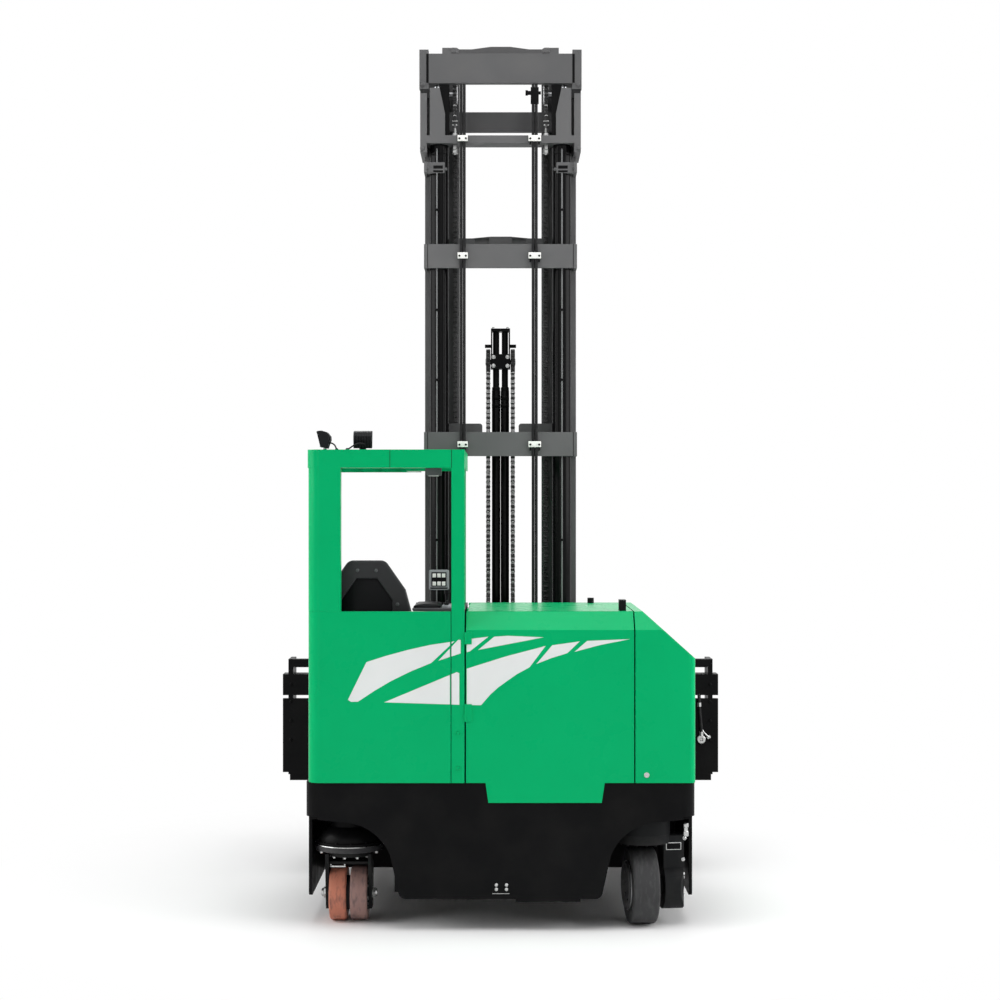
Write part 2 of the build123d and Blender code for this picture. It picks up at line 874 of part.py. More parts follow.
def dash():
    """The front console with the steering column's boss and two pedals below."""
    points = [
        (cab_depth - thin_plate, console_foot),
        (cab_depth - thin_plate, console_top),
        (console_rear, console_top),
        (console_rear, console_top - console_lip),
        (knee_depth, console_foot),
    ]
    body = facing_side(points, (-guard_half_x + pillar + running_gap, guard_step_x - pillar - running_gap))
    boss = upright(column_x, column_depth, (console_top, handwheel_z - handwheel_hub_height),
                   column_boss_radius)
    shape = body + boss
    for x in pedal_x:
        shape += facing_side(pedal_profile, (x, x + pedal_width))
    return shape


def steering_wheel():
    """The small handwheel: six-sided rim, three spokes and hub, on a vertical column."""
    section = Location((handwheel_radius, 0, 0)) * RegularPolygon(handwheel_rim, 6)
    rim = revolve(Plane.XZ * section, Axis.Z)
    hub_height = handwheel_hub_height
    hub = Cylinder(handwheel_hub_radius, hub_height, align=(Align.CENTER, Align.CENTER, Align.MAX))
    shape = rim + Location((0, 0, handwheel_rim)) * hub
    for index in range(3):
        spoke = Box(handwheel_radius, panel, handwheel_rim / 2,
                    align=(Align.MIN, Align.CENTER, Align.CENTER))
        shape += Rot(0, 0, index * 360 / 3) * spoke
    base = handwheel_z - hub_height + seat_gap
    return Location((column_x, y_at(column_depth), base + hub_height - handwheel_rim)) * shape


# Lamps: outlines as (distance from the back, height over the roof), seen from the side
lamp_width = 84
lamp_outline = ((13, 6), (41, 11), (59, 84), (38, 86), (15, 79), (1, 61), (0, 44), (7, 26))
lamp_core_inset = 7
lamp_side_back_x = -771
lamp_rear_x = -625
lamp_rear_depth = 12
lamp_side_depth = 54
lamp_foot = (30, 12)
fin_count = 7
fin_share = 0.5
cab_lamp_x = (-340, -272)
cab_lamp_drop = 31
cab_lamp_z = (window_head - cab_lamp_drop, window_head + thin_plate)
cab_lamp_depths = (guard_ring, 150)
cab_lamp_taper = 8


def lamp_slice(inset, span):
    """The lamp's side outline, its back drawn in by an inset, between two places across."""
    face = lamp_outline[1:3]
    outline = list(face)
    for back, z in lamp_outline[3:] + lamp_outline[:1]:
        outline.append((back + inset, z))
    section = make_face(Polyline(*outline, close=True))
    view = Plane(origin=(span[0], 0, 0), x_dir=(0, 1, 0), z_dir=(1, 0, 0))
    return extrude(view * section, span[1] - span[0])


def work_lamp():
    """A finned lamp on its foot: the back is at zero, and it shines along +Y."""
    half = lamp_width / 2
    shape = lamp_slice(lamp_core_inset, (-half, half))
    pitch = lamp_width / fin_count
    for index in range(fin_count):
        low = -half + pitch * (index + (1 - fin_share) / 2)
        shape += lamp_slice(0, (low, low + pitch * fin_share))
    foot_middle = (lamp_outline[0][0] + lamp_outline[1][0]) / 2
    foot = Box(lamp_foot[0], lamp_foot[1], lamp_outline[1][1] + seat_gap,
               align=(Align.CENTER, Align.CENTER, Align.MIN))
    return shape + Location((0, foot_middle, 0)) * foot


def lamps():
    """Two finned work lamps on the roof, and the lamp under its rear edge."""
    rear_lamp = Location((lamp_rear_x, y_at(lamp_rear_depth), guard_top)) * work_lamp()
    side_place = Location((lamp_side_back_x, y_at(lamp_side_depth), guard_top), (0, 0, 90))
    under = block(cab_lamp_x, cab_lamp_depths, cab_lamp_z)
    under = chamfer(under.edges().filter_by(Axis.Y).group_by(Axis.Z)[0], cab_lamp_taper)
    return Compound([rear_lamp, side_place * work_lamp(), under])


# Reach carriage between the legs
roller_radius = rail_inner_height / 2 - roller_play
roller_x = (462, 508)
roller_offsets = (-85, 195)
roller_depths = [mast_depth + offset for offset in roller_offsets]
reach_cheek_x = (382, 400)
reach_stroke = 1050
reach_z = (150, 440)
reach_floor = reach_z[0] - plate
reach_barrel_radius = 24
reach_rod_radius = 14
reach_cylinder_x = -436
tray_gap = 3
reach_cylinder_z = bay_wall_bottom + plate + reach_barrel_radius + tray_gap
reach_barrel_depths = (60, 1280)
reach_rod_end = 1325


def reach_cylinder(radius, d):
    return lengthwise(reach_cylinder_x, d, reach_cylinder_z, radius)


def reach_carriage():
    """Two cheeks with their rollers, joined by cross plates round the mast foot."""
    front = roller_depths[1] + overrun
    rear = roller_depths[0] - overrun
    solids = None
    for sign in (1, -1):
        x = sorted((sign * reach_cheek_x[0], sign * reach_cheek_x[1]))
        cheek = block(x, (rear, front), reach_z)
        for depth in roller_depths:
            z = rail_bottom + rail_plate + rail_inner_height / 2
            wheel_x = sorted((sign * roller_x[0], sign * roller_x[1]))
            pin_x = sorted((sign * reach_cheek_x[1], sign * roller_x[0]))
            cheek += across(wheel_x, depth, z, roller_radius)
            cheek += across(pin_x, depth, z, panel)
        solids = cheek if solids is None else solids + cheek
    solids += block((-reach_cheek_x[0], reach_cheek_x[0]), (rear, rear + thin_plate),
                    (reach_z[0], reach_z[0] + overrun * 2))
    solids += block((-reach_cheek_x[1], reach_cheek_x[1]), (rear, front), (reach_floor, reach_z[0]))
    arm_z = (reach_cylinder_z - panel, reach_cylinder_z + panel)
    solids += block((-reach_cheek_x[1], -reach_cheek_x[0]), (front, reach_rod_end), arm_z)
    solids += block((reach_cylinder_x - reach_rod_radius, -reach_cheek_x[0]),
                    (reach_rod_end, reach_rod_end + plate), arm_z)
    return solids


def reach_barrel():
    """The reach cylinder's barrel, laid on the tray and out between the legs."""
    rear, front = reach_barrel_depths
    bore = reach_cylinder(reach_rod_radius + fit_gap, (rear + panel, front + overrun))
    return reach_cylinder(reach_barrel_radius, (rear, front)) - bore


def reach_rod():
    """The rod, screwed to the reach carriage in front of the barrel."""
    return reach_cylinder(reach_rod_radius, (reach_rod_end - reach_stroke - overrun * 3, reach_rod_end))


# Mast rails: (web near, web far, flange near, flange far, rear flange, front flange start)
outer_web = (368, 382)
outer_flange = (318, 382)
outer_offsets = (0, 16, 154, 170)
middle_web = (298, 310)
middle_flange = (262, 345)
middle_offsets = (26, 42, 178, 194)
inner_web = (236, 248)
inner_flange = (212, 290)
inner_offsets = (50, 64, 202, 218)
outer_top = 3985
middle_bottom = 160
middle_top = 4201
inner_bottom = 182
inner_top = 4236
arch_z = (4200, 4249, 4262)
crown_half = (50, 145)
beam_plate = 15
outer_beams = ((2174, 2294), (3113, 3232))
middle_beam_z = (3818, 3916)
tab_beam_z = (2240, 2288, 2342)
tab_inner_x = 92
tab_round = 14
inner_beam_z = (3200, 3287, 3296)
pocket_x = (59, 131)
pocket_drop = 10
head_beam_z = (3737, 3775)
low_beam_z = (900, 1020)
head_side_x = (382, 401)
head_side_z = (3692, 3985)
head_block_x = (371, 405)
head_block_z = (4006, 4203)
head_block_depth = 42
head_tab_x = (217, 291)
head_tab_top = 4212
gusset_half = ((277, 3775), (277, 3884), (304, 4012), (353, 4012), (353, 3775))
saddle_x = (280, 382)
saddle_z = (3590, 3643)
saddle_depths = (899, 945)
lifting_eye_z = 3930
lifting_eye_radius = 20
lifting_eye_offset = 85
middle_head_z = (4036, 4183)
middle_head_depth = mast_depth - beam_rear
roller_rise = 92
roller_drop = 70


def rail(web, flange, offsets, z):
    """One rolled rail: web and two flanges, standing between two heights."""
    start = mast_depth
    shape = block(web, (start + offsets[0], start + offsets[3]), z)
    shape += block(flange, (start + offsets[0], start + offsets[1]), z)
    shape += block(flange, (start + offsets[2], start + offsets[3]), z)
    return shape


def rail_roller(x, offsets, z):
    """A pair of mast rollers that run between two offsets of the neighbouring rail."""
    radius = (offsets[1] - offsets[0]) / 2 - roller_play
    depth = mast_depth + (offsets[0] + offsets[1]) / 2
    roller = across(x, depth, z, radius)
    return roller + mirror(roller, Plane.YZ)


def rail_pair(web, flange, offsets, z):
    right = rail(web, flange, offsets, z)
    return right + mirror(right, Plane.YZ)


def crowned_beam(half, z, d):
    """A cross beam whose top edge rises a little in the middle: z is foot, shoulder, crown."""
    right = [(half, z[0]), (half, z[1]), (crown_half[1], z[1]), (crown_half[0], z[2])]
    return facing_rear(mirrored(right), d)


def mast_outer():
    """The fixed stage: two channels, rear beams on side plates, and its head."""
    shape = rail_pair(outer_web, outer_flange, outer_offsets, (reach_z[0], outer_top))
    rear = mast_depth - beam_rear
    for z in (low_beam_z,) + outer_beams:
        shape += block((-outer_web[0], outer_web[0]), (rear, rear + beam_plate), z)
        for sign in (1, -1):
            x = sorted((sign * outer_web[0], sign * outer_web[1]))
            shape += block(x, (rear, mast_depth + outer_offsets[1]), z)
    shape += block((-outer_web[1], outer_web[1]), (rear, mast_depth - plate), head_beam_z)
    for sign in (1, -1):
        x = sorted((sign * outer_web[0], sign * head_side_x[1]))
        shape += block(x, (rear, mast_depth + outer_offsets[3]), head_side_z)
    shape -= across((-head_side_x[1] - overrun, head_side_x[1] + overrun),
                    mast_depth - lifting_eye_offset, lifting_eye_z, lifting_eye_radius)
    shape += rail_roller((middle_web[1] + running_gap, outer_web[0]), middle_offsets[1:3],
                         outer_top - roller_drop)
    cylinder_depth = mast_depth - cylinder_offset
    side_strip = block(outer_web, (rear, mast_depth + outer_offsets[1]), saddle_z)
    saddle = side_strip + block(saddle_x, saddle_depths, saddle_z)
    saddle -= upright(cylinder_x, cylinder_depth, saddle_z, barrel_radius + seat_gap)
    gusset = facing_rear(gusset_half, (rear, rear + thin_plate))
    anchor = prism(sheave_x, chain_rear_depth, (anchor_foot, chain_anchor_top - running_gap),
                   anchor_radius * 2, rod_sides)
    for z in anchor_nuts:
        anchor += prism(sheave_x, chain_rear_depth, z, anchor_nut, nut_sides)
    for part in both_sides(saddle) + both_sides(gusset) + both_sides(anchor):
        shape += part
    for sign in (1, -1):
        shape -= upright(sign * cylinder_x, cylinder_depth,
                         (head_beam_z[0] - overrun, head_beam_z[1] + overrun), rod_radius + running_gap)
    return shape


cylinder_x = 307
cylinder_offset = 65
barrel_radius = 47.5
rod_radius = 28
barrel_top = 3690


def lift_barrels():
    """The two main lift cylinders behind the outer rails."""
    solids = []
    for sign in (1, -1):
        tube = upright(sign * cylinder_x, mast_depth - cylinder_offset, (reach_z[0], barrel_top),
                       barrel_radius)
        bore = upright(sign * cylinder_x, mast_depth - cylinder_offset,
                       (reach_z[0] + overrun, barrel_top + overrun), rod_radius + fit_gap)
        solids.append(tube - bore)
    return Compound(solids)


def lift_rods():
    """The two rods, pushed out of the barrels and bolted under the middle head."""
    solids = []
    for sign in (1, -1):
        solids.append(upright(sign * cylinder_x, mast_depth - cylinder_offset,
                              (reach_z[0] + overrun * 2, middle_head_z[0]), rod_radius))
    return Compound(solids)


sheave_x = 229.5
sheave_width = 22
sheave_radius = 46
sheave_pin_radius = 14
sheave_depth = 1001
sheave_z = 4000
chain_width = 20
chain_thickness = 14
chain_run = sheave_radius + chain_thickness / 2 + seat_gap
chain_rear_depth = sheave_depth - chain_run
chain_period = 203.2
chain_waist = 2.5
chain_waist_share = 0.2
anchor_radius = 8
nut_sides = 6
rod_sides = 8
anchor_nut = 30
anchor_foot = 3690
anchor_nuts = ((3775, 3797), (3715, 3737), (3696, 3712))


def mast_middle():
    """The second stage: two I rails, its cross beams and the head that lifts it."""
    shape = rail_pair(middle_web, middle_flange, middle_offsets, (middle_bottom, middle_top))
    behind = (mast_depth - thin_plate, mast_depth + middle_offsets[0])
    half = outer_flange[0] - running_gap
    for z in ((middle_bottom, middle_bottom + overrun * 2), middle_beam_z):
        shape += block((-half, half), behind, z)
    low, shoulder, top = tab_beam_z
    tabs = facing_rear(mirrored([(half, low), (half, top), (tab_inner_x, top), (tab_inner_x, shoulder)]),
                       behind)
    shape += fillet(tabs.edges().filter_by(Axis.Y).filter_by_position(Axis.X, -tab_inner_x, tab_inner_x)
                    .group_by(Axis.Z)[-1], tab_round)
    head = block((-outer_flange[1] + thin_plate, outer_flange[1] - thin_plate),
                 (middle_head_depth, middle_head_depth + plate), middle_head_z)
    top_plate = block((-outer_flange[1] + thin_plate, outer_flange[1] - thin_plate),
                      (middle_head_depth, middle_head_depth + plate + panel),
                      (middle_head_z[0], middle_head_z[0] + plate))
    shape += head + top_plate
    end_block = block((head_block_x[0] - thin_plate, head_block_x[1]),
                      (middle_head_depth, middle_head_depth + head_block_depth), head_block_z)
    head_tab = block(head_tab_x, (middle_head_depth, middle_head_depth + plate + panel),
                     (middle_head_z[1] - plate, head_tab_top))
    for part in both_sides(end_block) + both_sides(head_tab):
        shape += part
    for sign in (1, -1):
        x = sorted((sign * middle_web[0], sign * (outer_flange[1] - thin_plate)))
        shape += block(x, (middle_head_depth, mast_depth + middle_offsets[3]), middle_head_z)
    shape += rail_roller((middle_web[1], outer_web[0] - running_gap), outer_offsets[1:3],
                         middle_bottom + roller_rise)
    shape += rail_roller((inner_web[1] + running_gap, middle_web[0]), inner_offsets[1:3],
                         middle_top - roller_drop)
    return shape


def mast_sheaves():
    """The chain sheaves of the middle head on their pins, carried by a lug each."""
    solids = []
    for sign in (1, -1):
        x = sign * sheave_x
        half = sheave_width / 2
        disc = across((x - half, x + half), sheave_depth, sheave_z, sheave_radius)
        pin_end = sign * middle_web[0]
        pin = across(sorted((x, pin_end)), sheave_depth, sheave_z, sheave_pin_radius)
        lug = block(sorted((pin_end, sign * middle_web[1])),
                    (sheave_depth - sheave_pin_radius, sheave_depth + sheave_pin_radius),
                    (sheave_z - sheave_pin_radius, middle_head_z[0]))
        solids.append(disc + pin + lug)
    return Compound(solids)


chain_foot = 640
chain_anchor_top = 3850
wrap_steps = 6


def run_side(depth, z, way):
    """One side of a straight run as (depth, height) points, drawn in between its links."""
    points = []
    count = int(abs(z[1] - z[0]) / chain_period)
    step = (z[1] - z[0]) / max(count, 1)
    for index in range(count):
        start = z[0] + step * index
        waist = step * chain_waist_share
        points.append((depth, start))
        points.append((depth, start + step - waist))
        points.append((depth - way * chain_waist, start + step - waist * 3 / 4))
        points.append((depth - way * chain_waist, start + step - waist / 4))
    points.append((depth, z[1]))
    return points


def wrap_side(depth, z, radius):
    """Half a turn round a sheave, from front to rear, as the corners of flats that touch the radius."""
    points = []
    corner = radius / cos(pi / 2 / wrap_steps)
    for index in range(wrap_steps):
        turn = pi * (index + 1 / 2) / wrap_steps
        points.append((depth + corner * cos(turn), z + corner * sin(turn)))
    return points


def leaf_chain(x, depth, z_sheave, run, feet):
    """A leaf chain over one sheave, from the foot of its front run to that of its rear run."""
    half = chain_thickness / 2
    outer = run_side(depth + run + half, (feet[0], z_sheave), 1)
    outer += wrap_side(depth, z_sheave, run + half)
    outer += run_side(depth - run - half, (z_sheave, feet[1]), -1)
    inner = run_side(depth + run - half, (feet[0], z_sheave), -1)
    inner += wrap_side(depth, z_sheave, run - half)
    inner += run_side(depth - run + half, (z_sheave, feet[1]), 1)
    return facing_side(outer + inner[::-1], (x - chain_width / 2, x + chain_width / 2))


def lift_chains():
    """The main leaf chains over the middle stage's sheaves, down to their anchors."""
    return Compound([leaf_chain(sign * sheave_x, sheave_depth, sheave_z, chain_run,
                                (chain_foot, chain_anchor_top)) for sign in (1, -1)])


# The free lift hangs just behind the lift carriage's plate
frame_setback = 150
frame_depth = fork_face - frame_setback
carriage_setback = 105
carriage_plate_depth = frame_depth - carriage_setback
free_setback = 88
free_depth = carriage_plate_depth - free_setback
free_cylinder_x = 22.5
free_barrel_radius = 22
free_rod_radius = 16.5
free_barrel_top = 2518
free_sheave_x = 63
free_sheave_radius = 52
free_sheave_z = 2664
free_pin_radius = 13
free_block_z = (2627, 2702)
free_block_half = 50
free_cap_z = (2818, 2833)
free_cap_half = 49
free_cheek = 7
free_ear_x = 80
free_ear_radius = 9
free_head_half = 40
free_chain_foot = 900
free_chain_anchor = 1300


def mast_inner():
    """The third stage: two I rails, the arched top beam and its cross beams."""
    shape = rail_pair(inner_web, inner_flange, inner_offsets, (inner_bottom, inner_top))
    x = (-inner_web[0], inner_web[0])
    rear = (mast_depth + inner_offsets[0], mast_depth + inner_offsets[1])
    shape += crowned_beam(inner_flange[1], arch_z, rear)
    shape += crowned_beam(inner_web[0], inner_beam_z, rear)
    for part in both_sides(block(pocket_x, (rear[0] - overrun, rear[0] + pocket_drop),
                                 (inner_beam_z[0] + overrun, inner_beam_z[1]))):
        shape -= part
    shape += block(x, rear, (inner_bottom, inner_bottom + overrun * 2))
    shape += rail_roller((inner_web[1], middle_web[0] - running_gap), middle_offsets[1:3],
                         inner_bottom + roller_rise)
    foot = block(x, (rear[0], free_depth + free_barrel_radius),
                 (inner_bottom, inner_bottom + overrun))
    return shape + foot


def free_lift_barrel():
    """The two slim free-lift cylinders, side by side on the inner stage's foot."""
    solids = []
    for sign in (1, -1):
        x = sign * free_cylinder_x
        tube = upright(x, free_depth, (inner_bottom + overrun, free_barrel_top), free_barrel_radius)
        bore = upright(x, free_depth, (inner_bottom + overrun * 2, free_barrel_top + overrun),
                       free_rod_radius + fit_gap)
        solids.append(tube - bore)
    return Compound(solids)


def free_lift_head():
    """Both rods with their crosshead, the chain sheaves beside it, and the cap on cheeks."""
    deep = (free_depth - free_head_half, free_depth + free_head_half)
    sheave_end = free_sheave_x + sheave_width / 2
    shape = block((-free_block_half, free_block_half), deep, free_block_z)
    shape += block((-free_cap_half, free_cap_half), deep, free_cap_z)
    shape += across((-sheave_end, sheave_end), free_depth, free_sheave_z, free_pin_radius)
    ear_z = free_sheave_z + free_sheave_radius + chain_thickness + running_gap + free_ear_radius
    for sign in (1, -1):
        shape += upright(sign * free_cylinder_x, free_depth, (inner_bottom + overrun * 3, free_cap_z[0]),
                         free_rod_radius)
        x = sign * free_sheave_x
        shape += across((x - sheave_width / 2, x + sheave_width / 2), free_depth, free_sheave_z,
                        free_sheave_radius)
        cheek = sorted((sign * (free_cap_half - free_cheek), sign * free_cap_half))
        shape += block(cheek, deep, (free_block_z[1], free_cap_z[0]))
        shape += across(sorted((sign * (free_cap_half - free_cheek), sign * free_ear_x)), free_depth, ear_z,
                        free_ear_radius)
    return shape


def free_lift_chains():
    run = free_sheave_radius + chain_thickness / 2 + seat_gap
    return Compound([leaf_chain(sign * free_sheave_x, free_depth, free_sheave_z, run,
                                (free_chain_foot, free_chain_anchor)) for sign in (1, -1)])


hose_radius = 6.5
hose_left_x = (-196, -181)
hose_right_x = (163, 178)
hose_low = 1020
hose_high = 4030
clamp_half = ((25.5, hose_left_x), (31.5, hose_right_x))
clamp_beams = ((2217, 2249), (3157, 3190), (3742, 3774))


def mast_hoses():
    """Two pairs of hydraulic hoses up the rear of the fixed stage, held in clamp blocks."""
    solids = []
    depth = mast_depth - beam_rear - hose_radius - seat_gap
    for half, pair in clamp_half:
        middle = sum(pair) / 2
        bundle = None
        for x in pair:
            hose = prism(x, depth, (hose_low, hose_high), hose_radius * 2, rod_sides)
            bundle = hose if bundle is None else bundle + hose
        for z in clamp_beams:
            bundle += block((middle - half, middle + half),
                            (depth - hose_radius - running_gap, depth + hose_radius), z)
        solids.append(bundle)
    return Compound(solids)


# Lift carriage, fork frame and forks
carriage_z = (520, 1060)
carriage_cheek_x = (178, 204)
carriage_plate_thickness = 20
tilt_pin_depth = frame_depth - overrun
tilt_pin_z = 560
tilt_pin_radius = 22
tilt_lug_x = (120, 150)
frame_half_width = 1140
frame_end_inset = 29
frame_end_half = frame_half_width - frame_end_inset
frame_plate = 30
frame_bottom = 489
frame_fold = 657
lower_plate_top = 916
box_z = (934, 1044)
window_z = (1044, 1081)
top_bar_z = (1086, 1123)
notch = (37, 42)
fork_width = 125
fork_thickness = 45
fork_tip = 14
fork_spread = 420
fork_bottom = 494
fork_bar_radius = 18
fork_boss_radius = 36
fork_bar_depth = fork_face - fork_thickness / 2
fork_bar_z = top_bar_z[1] - fork_boss_radius
frame_seat = fork_face - fork_thickness - seat_gap
slide_rail_z = (520, 565)


def lift_carriage():
    """Two roller cheeks in the inner rails, the front plate and the tilt lugs."""
    front = carriage_plate_depth
    shape = block((-carriage_cheek_x[1], carriage_cheek_x[1]),
                  (front, front + carriage_plate_thickness), carriage_z)
    roller_r = (inner_offsets[2] - inner_offsets[1]) / 2 - roller_play
    roller_depth = mast_depth + (inner_offsets[1] + inner_offsets[2]) / 2
    for sign in (1, -1):
        x = sorted((sign * carriage_cheek_x[0], sign * carriage_cheek_x[1]))
        shape += block(x, (roller_depth - panel, front), carriage_z)
        for z in (carriage_z[0] + roller_r, carriage_z[1] - roller_r):
            wheel_x = sorted((sign * carriage_cheek_x[1], sign * (inner_web[0] - running_gap)))
            shape += across(wheel_x, roller_depth, z, roller_r)
        lug_x = sorted((sign * tilt_lug_x[0], sign * tilt_lug_x[1]))
        shape += block(lug_x, (front, tilt_pin_depth + panel), (tilt_pin_z - overrun, tilt_pin_z + overrun))
    half = tilt_lug_x[1] + overrun
    shape += across((-half, half), tilt_pin_depth, tilt_pin_z, tilt_pin_radius)
    return shape


def fork_frame():
    """The wide fork carriage: folded lower plate, box beam and top bar on end plates."""
    d = (frame_depth, frame_depth + frame_plate)
    low = facing_rear(
        [(-frame_half_width + notch[0], frame_bottom), (frame_half_width - notch[0], frame_bottom),
         (frame_half_width - notch[0], frame_bottom + notch[1]),
         (frame_half_width, frame_bottom + notch[1]), (frame_half_width, lower_plate_top),
         (-frame_half_width, lower_plate_top), (-frame_half_width, frame_bottom + notch[1]),
         (-frame_half_width + notch[0], frame_bottom + notch[1])], d)
    box = block((-frame_half_width, frame_half_width), (frame_depth, frame_seat), box_z)
    bar = block((-frame_end_half, frame_end_half), (frame_depth, frame_depth + overrun), top_bar_z)
    shape = low + box + bar
    shape += block((-frame_end_half, frame_end_half), (frame_depth, frame_seat), slide_rail_z)
    shape += across((-frame_end_half, frame_end_half), fork_bar_depth, fork_bar_z, fork_bar_radius)
    for sign in (1, -1):
        x = sorted((sign * (frame_end_half - panel), sign * frame_end_half))
        shape += block(x, (frame_depth, fork_bar_depth + fork_bar_radius + plate),
                       (frame_fold, top_bar_z[1]))
        inner = sorted((sign * (tilt_lug_x[1] + running_gap), sign * (tilt_lug_x[1] + overrun - running_gap)))
        ear = block(inner, (tilt_pin_depth - overrun + running_gap, frame_depth + frame_plate),
                    (tilt_pin_z - overrun, tilt_pin_z + overrun))
        hole = across((-frame_half_width, frame_half_width), tilt_pin_depth, tilt_pin_z,
                      tilt_pin_radius + fit_gap)
        shape += ear - hole
    return shape


def fork(sign):
    """One fork: blade tapering to its tip, heel, and a shank hung on the frame's bar."""
    points = [
        (fork_face - fork_thickness, fork_bottom),
        (fork_face + fork_length, fork_bottom),
        (fork_face + fork_length, fork_bottom + fork_tip),
        (fork_face + fork_length / 2, fork_bottom + fork_thickness),
        (fork_face, fork_bottom + fork_thickness),
        (fork_face, fork_bar_z),
        (fork_face - fork_thickness, fork_bar_z),
    ]
    middle = sign * fork_spread
    x = (middle - fork_width / 2, middle + fork_width / 2)
    shape = facing_side(points, x) + across(x, fork_bar_depth, fork_bar_z, fork_boss_radius)
    hole = (x[0] - overrun, x[1] + overrun)
    return shape - across(hole, fork_bar_depth, fork_bar_z, fork_bar_radius + fit_gap)


nodes = {
    "chassis": chassis(),
    "base_belt": base_belt(),
    "steer_mounts": steer_mounts(),
    "drive_motor": drive_motor(),
    "twin_fork": twin_fork(),
    "twin_tyres": twin_tyres(),
    "twin_hubs": twin_hubs(),
    "drive_leg": drive_leg(),
    "drive_tyre": drive_tyre(),
    "drive_hub": drive_hub(),
    "load_turret_left": load_turret(-1),
    "load_turret_right": load_turret(1),
    "load_wheel_left": load_wheel(-1),
    "load_wheel_right": load_wheel(1),
    "battery": block(battery_x, battery_depths, (bay_wall_bottom + plate, battery_top)),
    "corner_panel": corner_panel(),
    "rear_door": rear_door(),
    "hood_lid": hood_lid(),
    "hood_bulkhead": hood_bulkhead(),
    "lid_fittings": lid_fittings(),
    "cab_rear_panel": cab_rear_panel(),
    "overhead_guard": overhead_guard(),
    "roof_bars": roof_bars(),
    "cab_tub": cab_tub(),
    "seat_shell": seat_shell(),
    "seat_pads": seat_pads(),
    "seat_base": seat_base(),
    "armrest": armrest(),
    "display": display(),
    "dash": dash(),
    "steering_wheel": steering_wheel(),
    "lamps": lamps(),
    "reach_carriage": reach_carriage(),
    "reach_barrel": reach_barrel(),
    "reach_rod": reach_rod(),
    "mast_outer": mast_outer(),
    "lift_barrels": lift_barrels(),
    "lift_rods": lift_rods(),
    "mast_middle": mast_middle(),
    "mast_sheaves": mast_sheaves(),
    "lift_chains": lift_chains(),
    "mast_inner": mast_inner(),
    "free_lift_barrel": free_lift_barrel(),
    "free_lift_head": free_lift_head(),
    "free_lift_chains": free_lift_chains(),
    "mast_hoses": mast_hoses(),
    "lift_carriage": lift_carriage(),
    "fork_frame": fork_frame(),
    "fork_left": fork(-1),
    "fork_right": fork(1),
}

os.makedirs("parts", exist_ok=True)
for name, shape in nodes.items():
    export_step(shape, "parts/" + name + ".step")
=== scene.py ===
"""Looks of the multi-directional reach truck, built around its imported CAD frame.

Everything is in metres in the row frame: X across, Y forward towards the forks, Z up.
"""

import json
import math

import bmesh
import bpy
from mathutils import Matrix, Vector


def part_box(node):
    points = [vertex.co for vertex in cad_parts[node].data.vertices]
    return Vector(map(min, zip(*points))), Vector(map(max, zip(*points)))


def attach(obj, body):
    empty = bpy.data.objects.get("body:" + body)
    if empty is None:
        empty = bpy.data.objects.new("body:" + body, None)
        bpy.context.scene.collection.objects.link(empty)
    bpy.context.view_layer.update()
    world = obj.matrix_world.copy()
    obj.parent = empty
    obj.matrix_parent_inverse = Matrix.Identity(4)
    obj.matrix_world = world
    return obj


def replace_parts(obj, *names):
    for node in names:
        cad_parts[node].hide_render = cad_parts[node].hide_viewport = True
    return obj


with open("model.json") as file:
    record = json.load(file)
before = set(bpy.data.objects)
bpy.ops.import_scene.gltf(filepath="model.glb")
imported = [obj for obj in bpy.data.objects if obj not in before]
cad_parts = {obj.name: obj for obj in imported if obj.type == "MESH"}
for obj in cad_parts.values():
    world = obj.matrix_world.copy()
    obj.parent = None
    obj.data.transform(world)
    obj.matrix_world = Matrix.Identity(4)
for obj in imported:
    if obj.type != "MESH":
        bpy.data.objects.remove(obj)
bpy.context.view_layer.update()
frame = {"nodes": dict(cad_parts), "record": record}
nodes = frame["nodes"]

X = Vector((1, 0, 0))
Y = Vector((0, 1, 0))
Z = Vector((0, 0, 1))

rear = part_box("corner_panel")[0].y
hair = 0.0004
joints = {joint["name"]: joint for joint in frame["record"]["behaviour"]["joints"]}
hexagon = 6


# ---------------------------------------------------------------- materials

